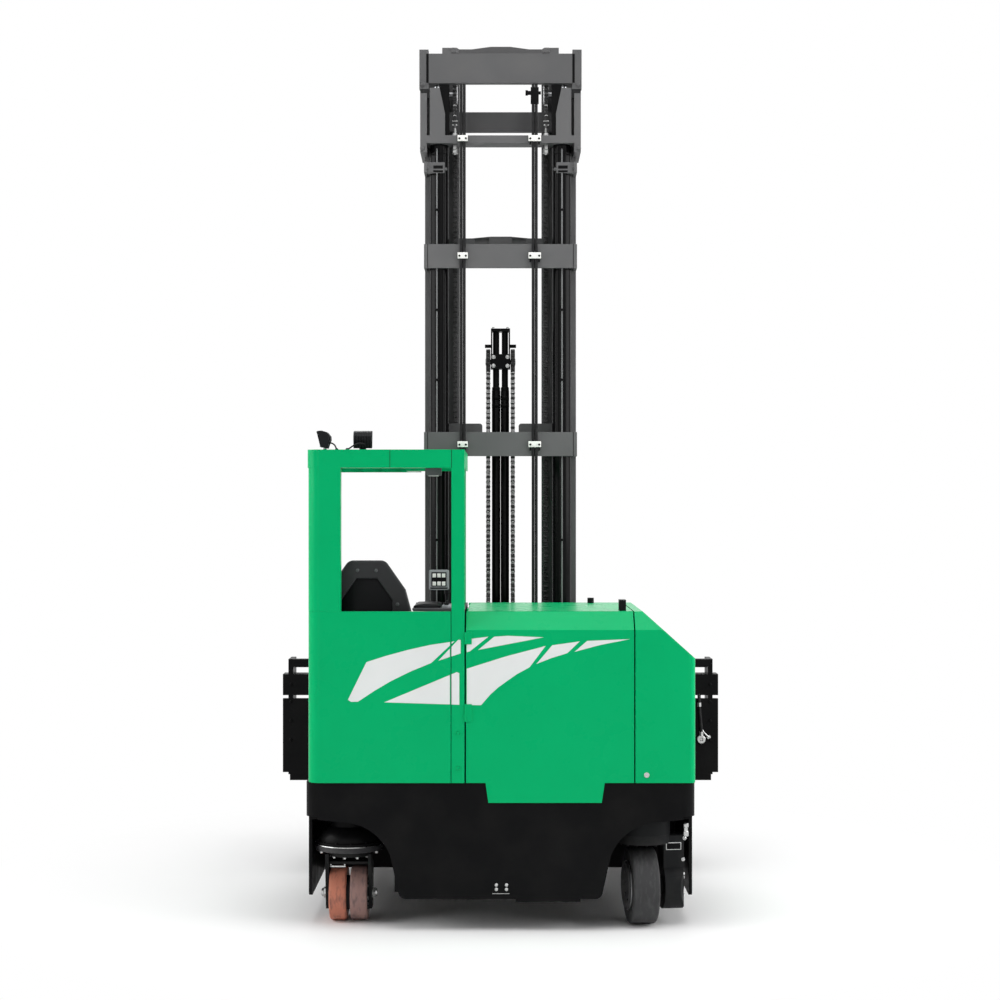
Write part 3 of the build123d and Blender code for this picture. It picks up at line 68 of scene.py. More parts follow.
class Finish:
    """One node material whose textures run in metres over the object's own space."""

    def __init__(self, name):
        self.material = bpy.data.materials.new(name)
        self.material.use_nodes = True
        self.tree = self.material.node_tree
        self.shader = self.tree.nodes["Principled BSDF"]
        self.place = self.add("TexCoord").outputs["Object"]

    def add(self, kind, settings=None, **inputs):
        made = self.tree.nodes.new("ShaderNode" + kind)
        for key, value in (settings or {}).items():
            setattr(made, key, value)
        for key, value in inputs.items():
            self.feed(made.inputs[key.replace("_", " ")], value)
        return made

    def feed(self, socket, value):
        if isinstance(value, bpy.types.NodeSocket):
            self.tree.links.new(value, socket)
        else:
            socket.default_value = value

    def noise(self, scale, detail=3, stretch=None):
        place = self.place
        if stretch:
            place = self.add("Mapping", Vector=place, Scale=stretch).outputs["Vector"]
        return self.add("TexNoise", Vector=place, Scale=scale, Detail=detail).outputs["Fac"]

    def ramp(self, value, low, high, start=0.0, end=1.0):
        made = self.add("MapRange", Value=value)
        for key, number in (("From Min", low), ("From Max", high), ("To Min", start), ("To Max", end)):
            made.inputs[key].default_value = number
        return made.outputs["Result"]

    def mix(self, share, first, second, how="MIX"):
        made = self.add("Mix", {"data_type": "RGBA", "blend_type": how})
        self.feed(made.inputs[0], share)
        self.feed(made.inputs[6], first)
        self.feed(made.inputs[7], second)
        return made.outputs[2]

    def math(self, how, first, second=0.0):
        made = self.add("Math", {"operation": how})
        self.feed(made.inputs[0], first)
        self.feed(made.inputs[1], second)
        return made.outputs[0]

    def edges(self, radius, reach):
        """Rounded normals, and a mask that is 1 along the edges that they round."""
        rounded = self.add("Bevel", {"samples": 6}, Radius=radius).outputs["Normal"]
        flat = self.add("NewGeometry").outputs["Normal"]
        dot = self.add("VectorMath", {"operation": "DOT_PRODUCT"})
        self.feed(dot.inputs[0], rounded)
        self.feed(dot.inputs[1], flat)
        return rounded, self.ramp(dot.outputs["Value"], 1.0, 1.0 - reach)

    def bump(self, height, depth, normal=None, strength=1.0):
        made = self.add("Bump", Height=height, Distance=depth, Strength=strength)
        if normal is not None:
            self.feed(made.inputs["Normal"], normal)
        return made.outputs["Normal"]

    def set(self, **sockets):
        for key, value in sockets.items():
            self.feed(self.shader.inputs[key.replace("_", " ")], value)
        return self.material


def shade(colour, factor):
    return tuple(min(1.0, part * factor) for part in colour[:3]) + (1.0,)


def linear(red, green, blue):
    """A colour given as it looks on screen, 0 to 255, as the shader needs it."""
    parts = []
    for part in (red, green, blue):
        part /= 255
        parts.append(part / 12.92 if part <= 0.04045 else ((part + 0.055) / 1.055) ** 2.4)
    return tuple(parts) + (1.0,)


def coated(name, colour, rough, grain=900, grain_depth=0.00004, edge=1.5, edge_wear_and_highlight_share=0.6,
           coat=0.0, cloud=0.10, radius=0.0025, metallic=0.0, dust=0.0, gloss=0.08):
    """Paint or plastic: clouded colour, lighter edges that are partly wear and partly painted highlight, fine
    grain and film dust.
    """
    finish = Finish(name)
    rounded, mask = finish.edges(radius, 0.12)
    # Rounded edges are lightened by the edge factor: partly wear, partly a painted highlight of bright
    # bevels.
    edge_wear_and_highlight = finish.math("MULTIPLY", mask, finish.ramp(finish.noise(35, 5), 0.35, 0.65, 0.35, edge_wear_and_highlight_share))
    tint = finish.mix(finish.ramp(finish.noise(2.2, 4), 0.3, 0.7),
                      shade(colour, 1 - cloud), shade(colour, 1 + cloud))
    tint = finish.mix(edge_wear_and_highlight, tint, shade(colour, edge))
    if dust:
        film = finish.ramp(finish.noise(6, 6), 0.42, 0.75, 0.0, dust)
        tint = finish.mix(film, tint, linear(150, 146, 138))
    fine = finish.noise(grain, 2)
    normal = finish.bump(fine, grain_depth, rounded)
    roughness = finish.ramp(finish.noise(14, 5), 0.3, 0.7, rough - 0.06, rough + 0.08)
    return finish.set(Base_Color=tint, Roughness=roughness, Normal=normal, Metallic=metallic,
                      Coat_Weight=coat, Coat_Roughness=0.12, Specular_IOR_Level=gloss)


def bare_metal(name, colour, rough, streak=(1, 1, 1), scale=60, depth=0.00003, grime=0.25):
    """Bright or oily steel with machining streaks and darker grime."""
    finish = Finish(name)
    rounded, mask = finish.edges(0.0012, 0.15)
    line = finish.noise(scale, 6, streak)
    dirt = finish.ramp(finish.noise(9, 5), 0.45, 0.7, 0.0, grime)
    tint = finish.mix(dirt, finish.mix(line, shade(colour, 0.85), shade(colour, 1.1)),
                      shade(colour, 0.25))
    # Rounded edges are lightened: partly a painted highlight, as the chain plates' bright ends, partly wear.
    tint = finish.mix(finish.math("MULTIPLY", mask, 0.5), tint, shade(colour, 1.5))
    roughness = finish.ramp(line, 0.3, 0.7, rough - 0.07, rough + 0.12)
    normal = finish.bump(line, depth, rounded)
    return finish.set(Base_Color=tint, Roughness=roughness, Normal=normal, Metallic=1.0)


def elastic(name, colour, rough, scuff, grain=260, depth=0.0002):
    """Rubber or polyurethane: pitted, scuffed lighter where it rolls."""
    finish = Finish(name)
    worn = finish.ramp(finish.noise(22, 8, (3, 1, 1)), 0.48, 0.72, 0.0, 0.7)
    tint = finish.mix(worn, finish.mix(finish.noise(5, 4), shade(colour, 0.8), shade(colour, 1.15)), scuff)
    height = finish.mix(0.5, finish.noise(grain, 3), finish.noise(40, 6))
    roughness = finish.ramp(finish.noise(30, 5), 0.3, 0.7, rough - 0.08, rough + 0.1)
    return finish.set(Base_Color=tint, Roughness=roughness, Normal=finish.bump(height, depth),
                      Specular_IOR_Level=0.14)


def woven(name, colour):
    """A close seat weave with a soft sheen."""
    finish = Finish(name)
    waves = []
    for direction in ("X", "Z"):
        wave = finish.add("TexWave", {"bands_direction": direction}, Vector=finish.place, Scale=260.0,
                          Distortion=0.6, Detail=1.0)
        waves.append(wave.outputs["Fac"])
    weave = finish.math("MULTIPLY", waves[0], waves[1])
    tint = finish.mix(weave, shade(colour, 0.7), shade(colour, 1.5))
    tint = finish.mix(finish.ramp(finish.noise(12, 5), 0.35, 0.7, 0.0, 0.35), tint, shade(colour, 1.9))
    finish.set(Base_Color=tint, Roughness=0.85, Normal=finish.bump(weave, 0.0004), Specular_IOR_Level=0.1)
    return finish.set(Sheen_Weight=0.3, Sheen_Roughness=0.5)


def clear(name, colour, rough=0.08):
    finish = Finish(name)
    smear = finish.ramp(finish.noise(40, 4), 0.4, 0.7, rough, rough + 0.1)
    return finish.set(Base_Color=colour, Roughness=smear, Coat_Weight=0.6, Coat_Roughness=0.05)


finishes = {}
# The edge factor lightens rounded edges: wear, and a painted highlight of bright bevels, as on the green
# panels and the seat shell's rim.
for name, colour, rough, more in (
        ("green_paint", (0, 171, 104), 0.3, dict(edge=1.25, coat=0.04, cloud=0.03, grain=700,
                                                 grain_depth=0.00002, radius=0.004, gloss=0.05)),
        ("black_paint", (15, 15, 16), 0.38, dict(edge=2.6, cloud=0.12, dust=0.012, gloss=0.05)),
        ("mast_cylinder", (12, 12, 13), 0.22, dict(edge=1.2, coat=0.08, radius=0.001, gloss=0.03)),
        ("fork_steel", (44, 45, 46), 0.42, dict(edge=4.0, edge_wear_and_highlight_share=0.9, dust=0.08)),
        ("cast_housing", (27, 28, 29), 0.5, dict(grain=240, grain_depth=0.0003, edge=2.4, dust=0.05)),
        ("motor_housing", (25, 26, 27), 0.5, dict(grain=400, grain_depth=0.0001)),
        ("battery_case", (88, 91, 94), 0.42, dict(grain=600, edge=1.6)),
        ("hub_iron", (60, 60, 62), 0.5, dict(grain=300, grain_depth=0.0002, edge=2.6, dust=0.12)),
        ("black_plastic", (18, 18, 20), 0.46, dict(grain=1400, grain_depth=0.00012, edge=1.6)),
        ("grey_plastic", (150, 153, 156), 0.42, dict(grain=1400, grain_depth=0.00008, edge=1.3, cloud=0.04)),
        ("lamp_casing", (28, 29, 30), 0.4, dict(metallic=0.3, edge=2.5)),
        ("mast_paint", (100, 100, 101), 0.5, dict(cloud=0.08, dust=0.05)),
        ("stage_paint", (92, 92, 93), 0.5, dict(cloud=0.08, dust=0.05)),
        ("grey_trim", (92, 93, 95), 0.5, dict(edge=1.4, cloud=0.06, grain=1200)),
        # Pale paint for the pipe that paints each lift cylinder's highlight line.
        ("highlight_pipe_paint", (118, 119, 120), 0.4, dict(edge=1.2, dust=0.06)),
        ("shell_plastic", (44, 44, 46), 0.38, dict(grain=1100, grain_depth=0.00008, edge=2.6,
                                                   edge_wear_and_highlight_share=0.9, radius=0.008, gloss=0.22)),
        ("pale_decal", (226, 229, 228), 0.4, dict(edge=1.0, cloud=0.03, grain=500,
                                                  grain_depth=0.00002, coat=0.3)),
        ("white_plastic", (244, 244, 240), 0.45, dict(edge=1.0, cloud=0.04, dust=0.04))):
    finishes[name] = coated(name, linear(*colour), rough, **more)
for name, colour, rough, more in (
        ("rod_chrome", (205, 207, 210), 0.14, dict(streak=(1, 1, 12), scale=30, grime=0.1)),
        ("bearing_steel", (165, 166, 168), 0.34, dict(streak=(1, 1, 6), scale=90)),
        ("chain_steel", (62, 62, 62), 0.36, dict(streak=(2, 2, 2), scale=160, grime=0.7)),
        ("bright_zinc", (190, 191, 190), 0.3, dict(scale=140, grime=0.2))):
    finishes[name] = bare_metal(name, linear(*colour), rough, **more)
for name, colour, rough, scuff, more in (
        ("polyurethane", (192, 122, 100), 0.42, (96, 76, 74), {}),
        ("drive_rubber", (58, 58, 59), 0.5, (76, 76, 76), {}),
        ("worn_tread", (148, 118, 112), 0.42, (84, 76, 78), {}),
        ("hose_rubber", (24, 24, 25), 0.5, (48, 48, 48), dict(grain=900, depth=0.00006)),
        ("floor_mat", (36, 36, 37), 0.7, (58, 57, 55), dict(grain=500, depth=0.0004))):
    finishes[name] = elastic(name, linear(*colour), rough, linear(*scuff), **more)
finishes["seat_cloth"] = woven("seat_cloth", linear(40, 41, 44))
finishes["lens"] = clear("lens", linear(215, 222, 226))


# ---------------------------------------------------------------- outlines

BOX_FACES = [(0, 1, 3, 2), (4, 6, 7, 5), (0, 4, 5, 1), (2, 3, 7, 6), (0, 2, 6, 4), (1, 5, 7, 3)]


def circle(radius, count, first=0.0):
    """Pairs at even steps round a circle, the first at an angle in degrees."""
    for step in range(count):
        angle = math.radians(first + 360 / count * step)
        yield radius * math.cos(angle), radius * math.sin(angle)


def ring(inner, outer, foot, head):
    """A plain ring's (radius, along) outline."""
    return [(inner, foot), (outer, foot), (outer, head), (inner, head)]


def stepped(bore, radius, foot, shoulder, top, head):
    """A disc's (radius, along) outline, chamfered from its shoulder to its head."""
    return [(bore, foot), (radius, foot), (radius, shoulder), (top, head), (bore, head)]


def screw_head(radius, height, back=0.001):
    """A small screw's chamfered head that stands towards the rear."""
    return [(0, -height), (radius, -height), (radius + 0.001, -height / 2), (radius + 0.001, back), (0, back)]


def mirrored(middle, half):
    """A closed outline from its right half, given upwards."""
    return [(middle + u, v) for u, v in half] + [(middle - u, v) for u, v in reversed(half)]


def rounded(low, high, radius, steps):
    """A rectangle's outline with round corners."""
    outline = []
    for x, y, turn in ((high[0] - radius, high[1] - radius, 0), (low[0] + radius, high[1] - radius, 90),
                       (low[0] + radius, low[1] + radius, 180), (high[0] - radius, low[1] + radius, 270)):
        centre = Vector((x, y))
        for step in range(steps + 1):
            angle = math.radians(turn + 90 / steps * step)
            outline.append((centre.x + radius * math.cos(angle), centre.y + radius * math.sin(angle)))
    return outline


# ---------------------------------------------------------------- mesh tools

class Shape:
    """Gathers the faces of one piece, then becomes an object that rides on a body."""

    def __init__(self):
        self.points = []
        self.faces = []

    def add(self, points, faces):
        base = len(self.points)
        self.points += [Vector(p) for p in points]
        self.faces += [[base + i for i in face] for face in faces]
        return self

    def box(self, low, high):
        (a, d), (b, e), (c, f) = (sorted(pair) for pair in zip(low, high))
        return self.add([(x, y, z) for x in (a, d) for y in (b, e) for z in (c, f)], BOX_FACES)

    def slab(self, outline, along, span):
        """An outline in the two other axes, thickened between two places along one axis."""
        place = {"X": lambda u, v, w: (w, u, v), "Y": lambda u, v, w: (u, w, v),
                 "Z": lambda u, v, w: (u, v, w)}[along]
        count = len(outline)
        points = [place(u, v, w) for w in span for u, v in outline]
        faces = [tuple(range(count)), tuple(range(2 * count - 1, count - 1, -1))]
        faces += [(i, i + count, (i + 1) % count + count, (i + 1) % count) for i in range(count)]
        return self.add(points, faces)

    def turned(self, profile, centre, axis=Z, sides=32, start=0.0):
        """A closed outline of (radius, along) pairs turned round an axis through centre."""
        turn = Z.rotation_difference(Vector(axis)).to_matrix()
        centre = Vector(centre)
        points, faces, count = [], [], len(profile)
        for step in range(sides):
            angle = start + 2 * math.pi * step / sides
            across, up = math.cos(angle), math.sin(angle)
            points += [centre + turn @ Vector((radius * across, radius * up, along))
                       for radius, along in profile]
            here, after = step * count, (step + 1) % sides * count
            for i in range(count):
                j = (i + 1) % count
                faces.append((here + i, here + j, after + j, after + i))
        return self.add(points, faces)

    def bar(self, start, end, radius, sides=24, ease=0.0):
        """A round bar with eased ends."""
        start, end = Vector(start), Vector(end)
        length = (end - start).length
        ease = min(ease, radius * 0.6, length * 0.4)
        profile = [(0, 0), (radius - ease, 0), (radius, ease), (radius, length - ease),
                   (radius - ease, length), (0, length)]
        return self.turned(profile, start, end - start, sides)

    def bolt(self, place, axis, size=0.012, washer=True):
        """A hexagon head of that width across its corners, standing on a washer."""
        place, axis = Vector(place), Vector(axis).normalized()
        if washer:
            self.bar(place, place + axis * size * 0.12, size * 0.72, 16, 0.0003)
        head = stepped(0, size / 2, 0, size * 0.42, size * 0.4, size * 0.52)
        return self.turned(head, place + axis * size * 0.12, axis, hexagon, 0.3)

    def tube(self, points, radius, sides=14, rounds=3):
        """A round tube along points, its corners eased."""
        path = [Vector(p) for p in points]
        for _ in range(rounds):
            eased = [path[0]]
            for a, b in zip(path, path[1:]):
                eased += [a.lerp(b, 0.25), a.lerp(b, 0.75)]
            path = eased + [path[-1]]
        base = len(self.points)
        normal = None
        for i, point in enumerate(path):
            way = (path[min(i + 1, len(path) - 1)] - path[max(i - 1, 0)]).normalized()
            normal = way.orthogonal() if normal is None else normal - way * normal.dot(way)
            normal.normalize()
            other = way.cross(normal)
            for step in range(sides):
                angle = 2 * math.pi * step / sides
                self.points.append(point + (normal * math.cos(angle) + other * math.sin(angle)) * radius)
        for i in range(len(path) - 1):
            for step in range(sides):
                a, b = base + i * sides + step, base + i * sides + (step + 1) % sides
                self.faces.append((a, b, b + sides, a + sides))
        last = base + (len(path) - 1) * sides
        self.faces.append(list(range(base, base + sides)))
        self.faces.append(list(range(last, last + sides)))
        return self

    def swung(self, centre, axis, angle):
        """Turns everything so far round an axis through a point."""
        turn = Matrix.Rotation(angle, 3, axis)
        self.points = [centre + turn @ (p - centre) for p in self.points]
        return self

    def made(self, name, body, finish, slot=None, sharp=32, bevel=0.0, segments=2):
        mesh = bpy.data.meshes.new(name)
        mesh.from_pydata(self.points, [], self.faces)
        work = bmesh.new()
        work.from_mesh(mesh)
        bmesh.ops.remove_doubles(work, verts=work.verts, dist=0.000002)
        bmesh.ops.dissolve_degenerate(work, dist=0.000002, edges=work.edges)
        bmesh.ops.recalc_face_normals(work, faces=work.faces)
        if bevel:
            edges = [e for e in work.edges if e.is_manifold and e.calc_face_angle(0) > math.radians(sharp)]
            bmesh.ops.bevel(work, geom=edges, offset=bevel, segments=segments, profile=0.6,
                            affect="EDGES", clamp_overlap=True)
        for face in work.faces:
            face.smooth = True
        for edge in work.edges:
            edge.smooth = not (edge.is_manifold and edge.calc_face_angle(0) > math.radians(sharp))
        work.to_mesh(mesh)
        work.free()
        piece = bpy.data.objects.new(name, mesh)
        bpy.context.scene.collection.objects.link(piece)
        mesh.materials.append(finishes[finish])
        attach(piece, body)
        return piece


def spin(name):
    """A wheel's centre and the way of its axle, from its joint."""
    return Vector(joints[name]["pos_m"]), Vector(joints[name]["axis"]).normalized()


def around(centre, axis, radius, degrees, along=0.0):
    """A point on a circle round an axle, counted from straight up, and along the axle."""
    side = axis.cross(Z).normalized()
    up = side.cross(axis)
    angle = math.radians(degrees)
    return centre + axis * along + (side * math.sin(angle) + up * math.cos(angle)) * radius


def wheel_profile(radius, bore, half, crown, grooves=()):
    """A tyre's (radius, across) outline with round shoulders and shallow grooves."""
    outline = [(bore, -half + crown * 0.4), (radius - crown * 1.6, -half)]
    for step in range(5):
        angle = math.radians(90 * step / 4)
        outline.append((radius - crown + crown * math.sin(angle), -half + crown - crown * math.cos(angle)))
    for across, width, depth in grooves:
        outline += [(radius, across - width), (radius - depth, across - width / 2),
                    (radius - depth, across + width / 2), (radius, across + width)]
    for step in range(5):
        angle = math.radians(90 * step / 4)
        outline.append((radius - crown + crown * math.cos(angle), half - crown + crown * math.sin(angle)))
    outline += [(radius - crown * 1.6, half), (bore, half - crown * 0.4)]
    return outline


# ---------------------------------------------------------------- frame

own_finish = {"mast_outer": "mast_paint", "mast_middle": "stage_paint", "mast_inner": "stage_paint",
              "seat_shell": "shell_plastic"}
for entry in frame["record"]["subparts"]:
    cad = nodes[entry["node"]]
    cad.data.materials.clear()
    cad.data.materials.append(finishes[own_finish.get(entry["node"], entry["material_slot"])])


# ---------------------------------------------------------------- body panels

def clipped(outline, low, high):
    """The part of an outline between two places across."""
    for limit, side in ((low, 1), (high, -1)):
        kept = []
        for i, point in enumerate(outline):
            before = outline[i - 1]
            inside, was = (point[0] - limit) * side >= 0, (before[0] - limit) * side >= 0
            if inside != was:
                t = (limit - before[0]) / (point[0] - before[0])
                kept.append((limit, before[1] + t * (point[1] - before[1])))
            if inside:
                kept.append(point)
        outline = kept
    return outline


def stripes():
    """Pale swept stripes over the cab's rear panel, its post and the battery door."""
    panel_low, panel_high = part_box("cab_rear_panel")
    post_right, door_left, gap = -0.163, -0.156, 0.0035
    spans = {"truck": ((panel_low.x, panel_high.x - gap), (panel_high.x + gap, post_right)),
             "rear_door": ((door_left + gap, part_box("rear_door")[1].x),)}
    bands = (
        ((-0.690, 1.049), (-0.675, 1.040), (-0.644, 1.041), (-0.570, 1.090), (-0.495, 1.134), (-0.405, 1.178),
         (-0.313, 1.216), (-0.208, 1.314), (-0.315, 1.298), (-0.416, 1.276), (-0.515, 1.249),
         (-0.606, 1.220)),
        ((-0.281, 1.226), (-0.180, 1.259), (-0.180, 1.320), (-0.191, 1.321)),
        ((-0.153, 1.323), (-0.054, 1.335), (-0.138, 1.269), (-0.153, 1.264)),
        ((-0.101, 1.275), (-0.028, 1.335), (0.035, 1.339), (0.196, 1.332)),
        ((-0.526, 1.038), (-0.197, 1.175), (-0.186, 1.169), (-0.186, 1.027)),
        ((-0.153, 1.190), (0.025, 1.246), (0.204, 1.293), (0.131, 1.196), (0.075, 1.166), (0.025, 1.131),
         (-0.012, 1.104), (-0.044, 1.075), (-0.088, 1.025), (-0.153, 1.026)),
        ((0.162, 1.211), (0.234, 1.296), (0.359, 1.314), (0.302, 1.260), (0.230, 1.238)),
        ((0.334, 1.266), (0.392, 1.316), (0.587, 1.324), (0.455, 1.298)),
    )
    for body, places in spans.items():
        shape = Shape()
        for low, high in places:
            for band in bands:
                outline = clipped(band, low, high)
                if len(outline) > 2:
                    shape.slab(outline, "Y", (rear - hair, rear + hair / 4))
        shape.made("stripes_" + body, body, "pale_decal", slot="green_paint", sharp=60)


def panel_fittings():
    """Key lock with its slot, low on the corner panel."""
    lock = Shape()
    place = Vector((0.661, rear, 0.709))
    lock.turned([(0, -0.004), (0.011, -0.004), (0.0125, -0.002), (0.0125, 0.001), (0, 0.001)], place, Y, 28)
    lock.box(place + Vector((-0.001, -0.0052, -0.006)), place + Vector((0.001, -0.004, 0.006)))
    lock.made("panel_lock", "truck", "bright_zinc", slot="black_plastic")


def skirt_details():
    """A bare plate low on the skirt, with four bright bolts and a bright lower edge."""
    face = rear + 0.008
    (x0, x1), (z0, z1) = (-0.037, 0.040), (0.172, 0.222)
    plate = Shape().box((x0, face - 0.0018, z0), (x1, face, z1))
    plate.made("skirt_plate", "truck", "black_paint", bevel=0.0006)
    bright = Shape().box((x0, face - 0.0022, z0 - 0.0012), (x1, face, z0 + 0.001))
    for x in (-0.019, 0.027):
        for z in (0.1925, 0.2124):
            bright.bolt((x, face - 0.0018, z), -Y, 0.0166, False)
    bright.made("skirt_plate_bolts", "truck", "bright_zinc", slot="black_paint", bevel=0.0004)


# ---------------------------------------------------------------- wheels

def twin_wheel_pieces():
    """Two polyurethane tyres with a parting line, their wheel nuts and axle nuts, and a bright bar above the
    left tyre.
    """
    low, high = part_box("twin_tyres")
    centre = (low + high) / 2
    radius = (high.z - low.z) / 2
    gap = 0.017
    width = (high.x - low.x - gap) / 2
    parting_line = ((0, 0.0012, 0.0008),)
    for side, name, finish in ((-1, "twin_tread_left", "polyurethane"),
                               (1, "twin_tread_right", "worn_tread")):
        middle = centre + X * side * (width + gap) / 2
        profile = wheel_profile(radius, radius * 0.62, width / 2, 0.011, parting_line)
        tyre = Shape().turned(profile, middle, X, 72)
        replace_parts(tyre.made(name, "twin_wheels", finish, slot="polyurethane", sharp=50), "twin_tyres")
    nuts, ends = Shape(), Shape()
    for side in (-1, 1):
        face = centre + X * side * ((high.x - low.x) / 2 - 0.006)
        for y, z in circle(0.052, 6, 15):
            nuts.bolt(face + Vector((0, y, z)), X * side, 0.013)
        ends.turned(ring(0.018, 0.028, 0.107, 0.1088), centre, X * side, 32)
        ends.turned([(0.0182, 0.1088), (0.023, 0.1088), (0.025, 0.110), (0.025, 0.119), (0.022, 0.121),
                     (0.0182, 0.121)], centre, X * side, hexagon, 0.4)
        ends.turned([(0.0182, 0.119), (0.0192, 0.119), (0.0192, 0.1275), (0.0165, 0.1295), (0, 0.1295),
                     (0, 0.1284), (0.0182, 0.1284)], centre, X * side, 32)
    nuts.made("twin_wheel_nuts", "twin_wheels", "bright_zinc", slot="hub_iron")
    ends.made("twin_axle_nuts", "twin_fork", "bright_zinc", slot="bearing_steel")
    # A bright bar with two posts above the left tyre paints the highlight on a plate edge there.
    edge_highlight_bar = Shape().box((-0.792, centre.y - 0.050, 0.2505), (-0.718, centre.y - 0.044, 0.2575))
    for x in (-0.790, -0.726):
        edge_highlight_bar.box((x, centre.y - 0.0455, 0.2560), (x + 0.006, centre.y - 0.042, 0.2665))
    edge_highlight_bar.made("tyre_edge_highlight_bar", "twin_fork", "bright_zinc", slot="bearing_steel", bevel=0.0005)


def slewing_ring():
    """Wide race, bright lip and black cover of the twin wheels' turntable, and the bolts under it."""
    centre = Vector(joints["twin_steer"]["pos_m"])
    place = centre.xy.to_3d()
    race, lip, cover, under = Shape(), Shape(), Shape(), Shape()
    race.turned([(0.1555, 0.3325), (0.160, 0.3325), (0.1615, 0.334), (0.1615, 0.355), (0.160, 0.3565),
                 (0.1555, 0.3565)], place, Z, 96)
    race.made("turntable_race", "truck", "hub_iron", slot="cast_housing")
    lip.turned([(0.1555, 0.3566), (0.1625, 0.3566), (0.1635, 0.358), (0.1625, 0.3605), (0.157, 0.3615),
                (0.1555, 0.3605)], place, Z, 96)
    lip.made("turntable_lip", "truck", "bright_zinc", slot="cast_housing", sharp=50)
    cover.turned([(0.1555, 0.3604), (0.1595, 0.3612), (0.1600, 0.372), (0.1575, 0.375), (0.1520, 0.3765),
                  (0.1500, 0.392), (0.1400, 0.412), (0.1150, 0.432), (0.0915, 0.4405), (0.0915, 0.47),
                  (0.0903, 0.47), (0.0903, 0.4397)], place, Z, 80)
    for x, y in circle(0.1545, 14, math.degrees(0.35)):
        cover.bolt(place + Vector((x, y, 0.3745)), Z, 0.009)
    cover.made("turntable_cover", "truck", "black_paint", slot="cast_housing", sharp=35)
    for x, y in circle(0.094, 10, 8):
        under.bolt(place + Vector((x, y, 0.305)), -Z, 0.016)
    for side in (-1, 1):
        under.bolt(place + Vector((side * 0.127, -0.055, 0.331)), -Z, 0.022)
    under.made("turntable_under_bolts", "twin_fork", "bright_zinc", slot="bearing_steel")


def drive_wheel_pieces():
    """Smooth drive tyre, its rim and wheel nuts, and the gearbox leg's bolts, cover and bare plate."""
    centre, axis = spin("drive_spin")
    low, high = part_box("drive_tyre")
    radius, half, cut = (high.z - low.z) / 2, 0.0675, 0.007
    rim_radius = radius * 0.62
    tyre = Shape().turned(wheel_profile(radius, rim_radius, half - cut, 0.011), centre + axis * cut, axis, 88)
    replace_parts(tyre.made("drive_tyre_tread", "drive_wheel", "drive_rubber", sharp=50), "drive_tyre")
    nuts = Shape()
    for step in range(8):
        nuts.bolt(around(centre, axis, 0.074, 45 * step, 0.021 - half), -axis, 0.02)
    nuts.made("drive_wheel_nuts", "drive_wheel", "hub_iron")
    lip = ((-0.004, -0.056), (0.004, -0.058), (0.006, -0.056), (0.004, -0.050), (-0.004, -0.050))
    rim = Shape().turned([(rim_radius + out, along) for out, along in lip], centre, axis, 72)
    rim.made("drive_wheel_rim", "drive_wheel", "bearing_steel", slot="hub_iron")

    steer = Vector(joints["drive_steer"]["pos_m"])
    turn = math.atan2(axis.y, axis.x)
    back, right = steer.y - 0.062, steer.x + 0.183
    gear_height = 0.175

    def on_leg(shape, name, finish, slot="cast_housing", bevel=0.0):
        shape.swung(steer, Z, turn).made(name, "drive_unit", finish, slot=slot, bevel=bevel)

    plate = Shape().box((steer.x + 0.099, back - 0.0012, 0.345), (steer.x + 0.170, back + 0.001, 0.379))
    on_leg(plate, "gearbox_plate", "bright_zinc", bevel=0.0004)
    field = Shape().box((steer.x + 0.102, back - 0.0016, 0.348), (steer.x + 0.167, back, 0.376))
    on_leg(field, "gearbox_plate_field", "black_paint", bevel=0.0003)
    ear = Shape().box((right - 0.002, back, 0.385), (right + 0.009, back + 0.018, 0.411))
    on_leg(ear, "gearbox_ear", "cast_housing", bevel=0.002)
    bolts = Shape()
    for x, z, size in ((0.003, 0.398, 0.013), (-0.004, 0.300, 0.012), (-0.004, 0.234, 0.012),
                       (-0.012, 0.11, 0.011)):
        bolts.bolt((right + x, back, z), -Y, size)
    for across, up in circle(1, 6, 30):
        bolts.bolt((right, steer.y + across * 0.045, gear_height + up * 0.075), X, 0.012)
    on_leg(bolts, "gearbox_bolts", "bright_zinc", "bearing_steel")
    cover = Shape().turned([(0, -0.001), (0.052, -0.001), (0.052, 0.0015), (0.046, 0.004), (0.020, 0.004),
                            (0.018, 0.007), (0, 0.007)], (right, steer.y, gear_height), X, 48)
    plug_x = steer.x + 0.13
    cover.bar((plug_x, back + 0.004, 0.10), (plug_x, back - 0.007, 0.10), 0.009, hexagon, 0.001)
    on_leg(cover, "gearbox_cover", "cast_housing")
    flange = Shape()
    for x, y in circle(0.116, 16, 5):
        flange.bolt((steer.x + x, steer.y + y, 0.378), -Z, 0.012)
    flange.made("drive_flange_bolts", "drive_unit", "black_paint", slot="cast_housing")
    x, y = 0.8425, rear + 0.050
    coupling = Shape().turned([(0, 0.424), (0.010, 0.424), (0.0125, 0.427), (0.0125, 0.446), (0.0105, 0.449),
                               (0.0105, 0.464), (0.0125, 0.467), (0.0125, 0.481), (0.010, 0.484),
                               (0, 0.484)], (x, y, 0), Z, 24)
    bracket = Shape().box((x + 0.004, y - 0.003, 0.4505), (0.8685, y + 0.003, 0.4625))
    bracket.made("coupling_bracket", "truck", "black_paint", bevel=0.0006)
    coupling.made("skirt_coupling", "truck", "bright_zinc", slot="black_paint")


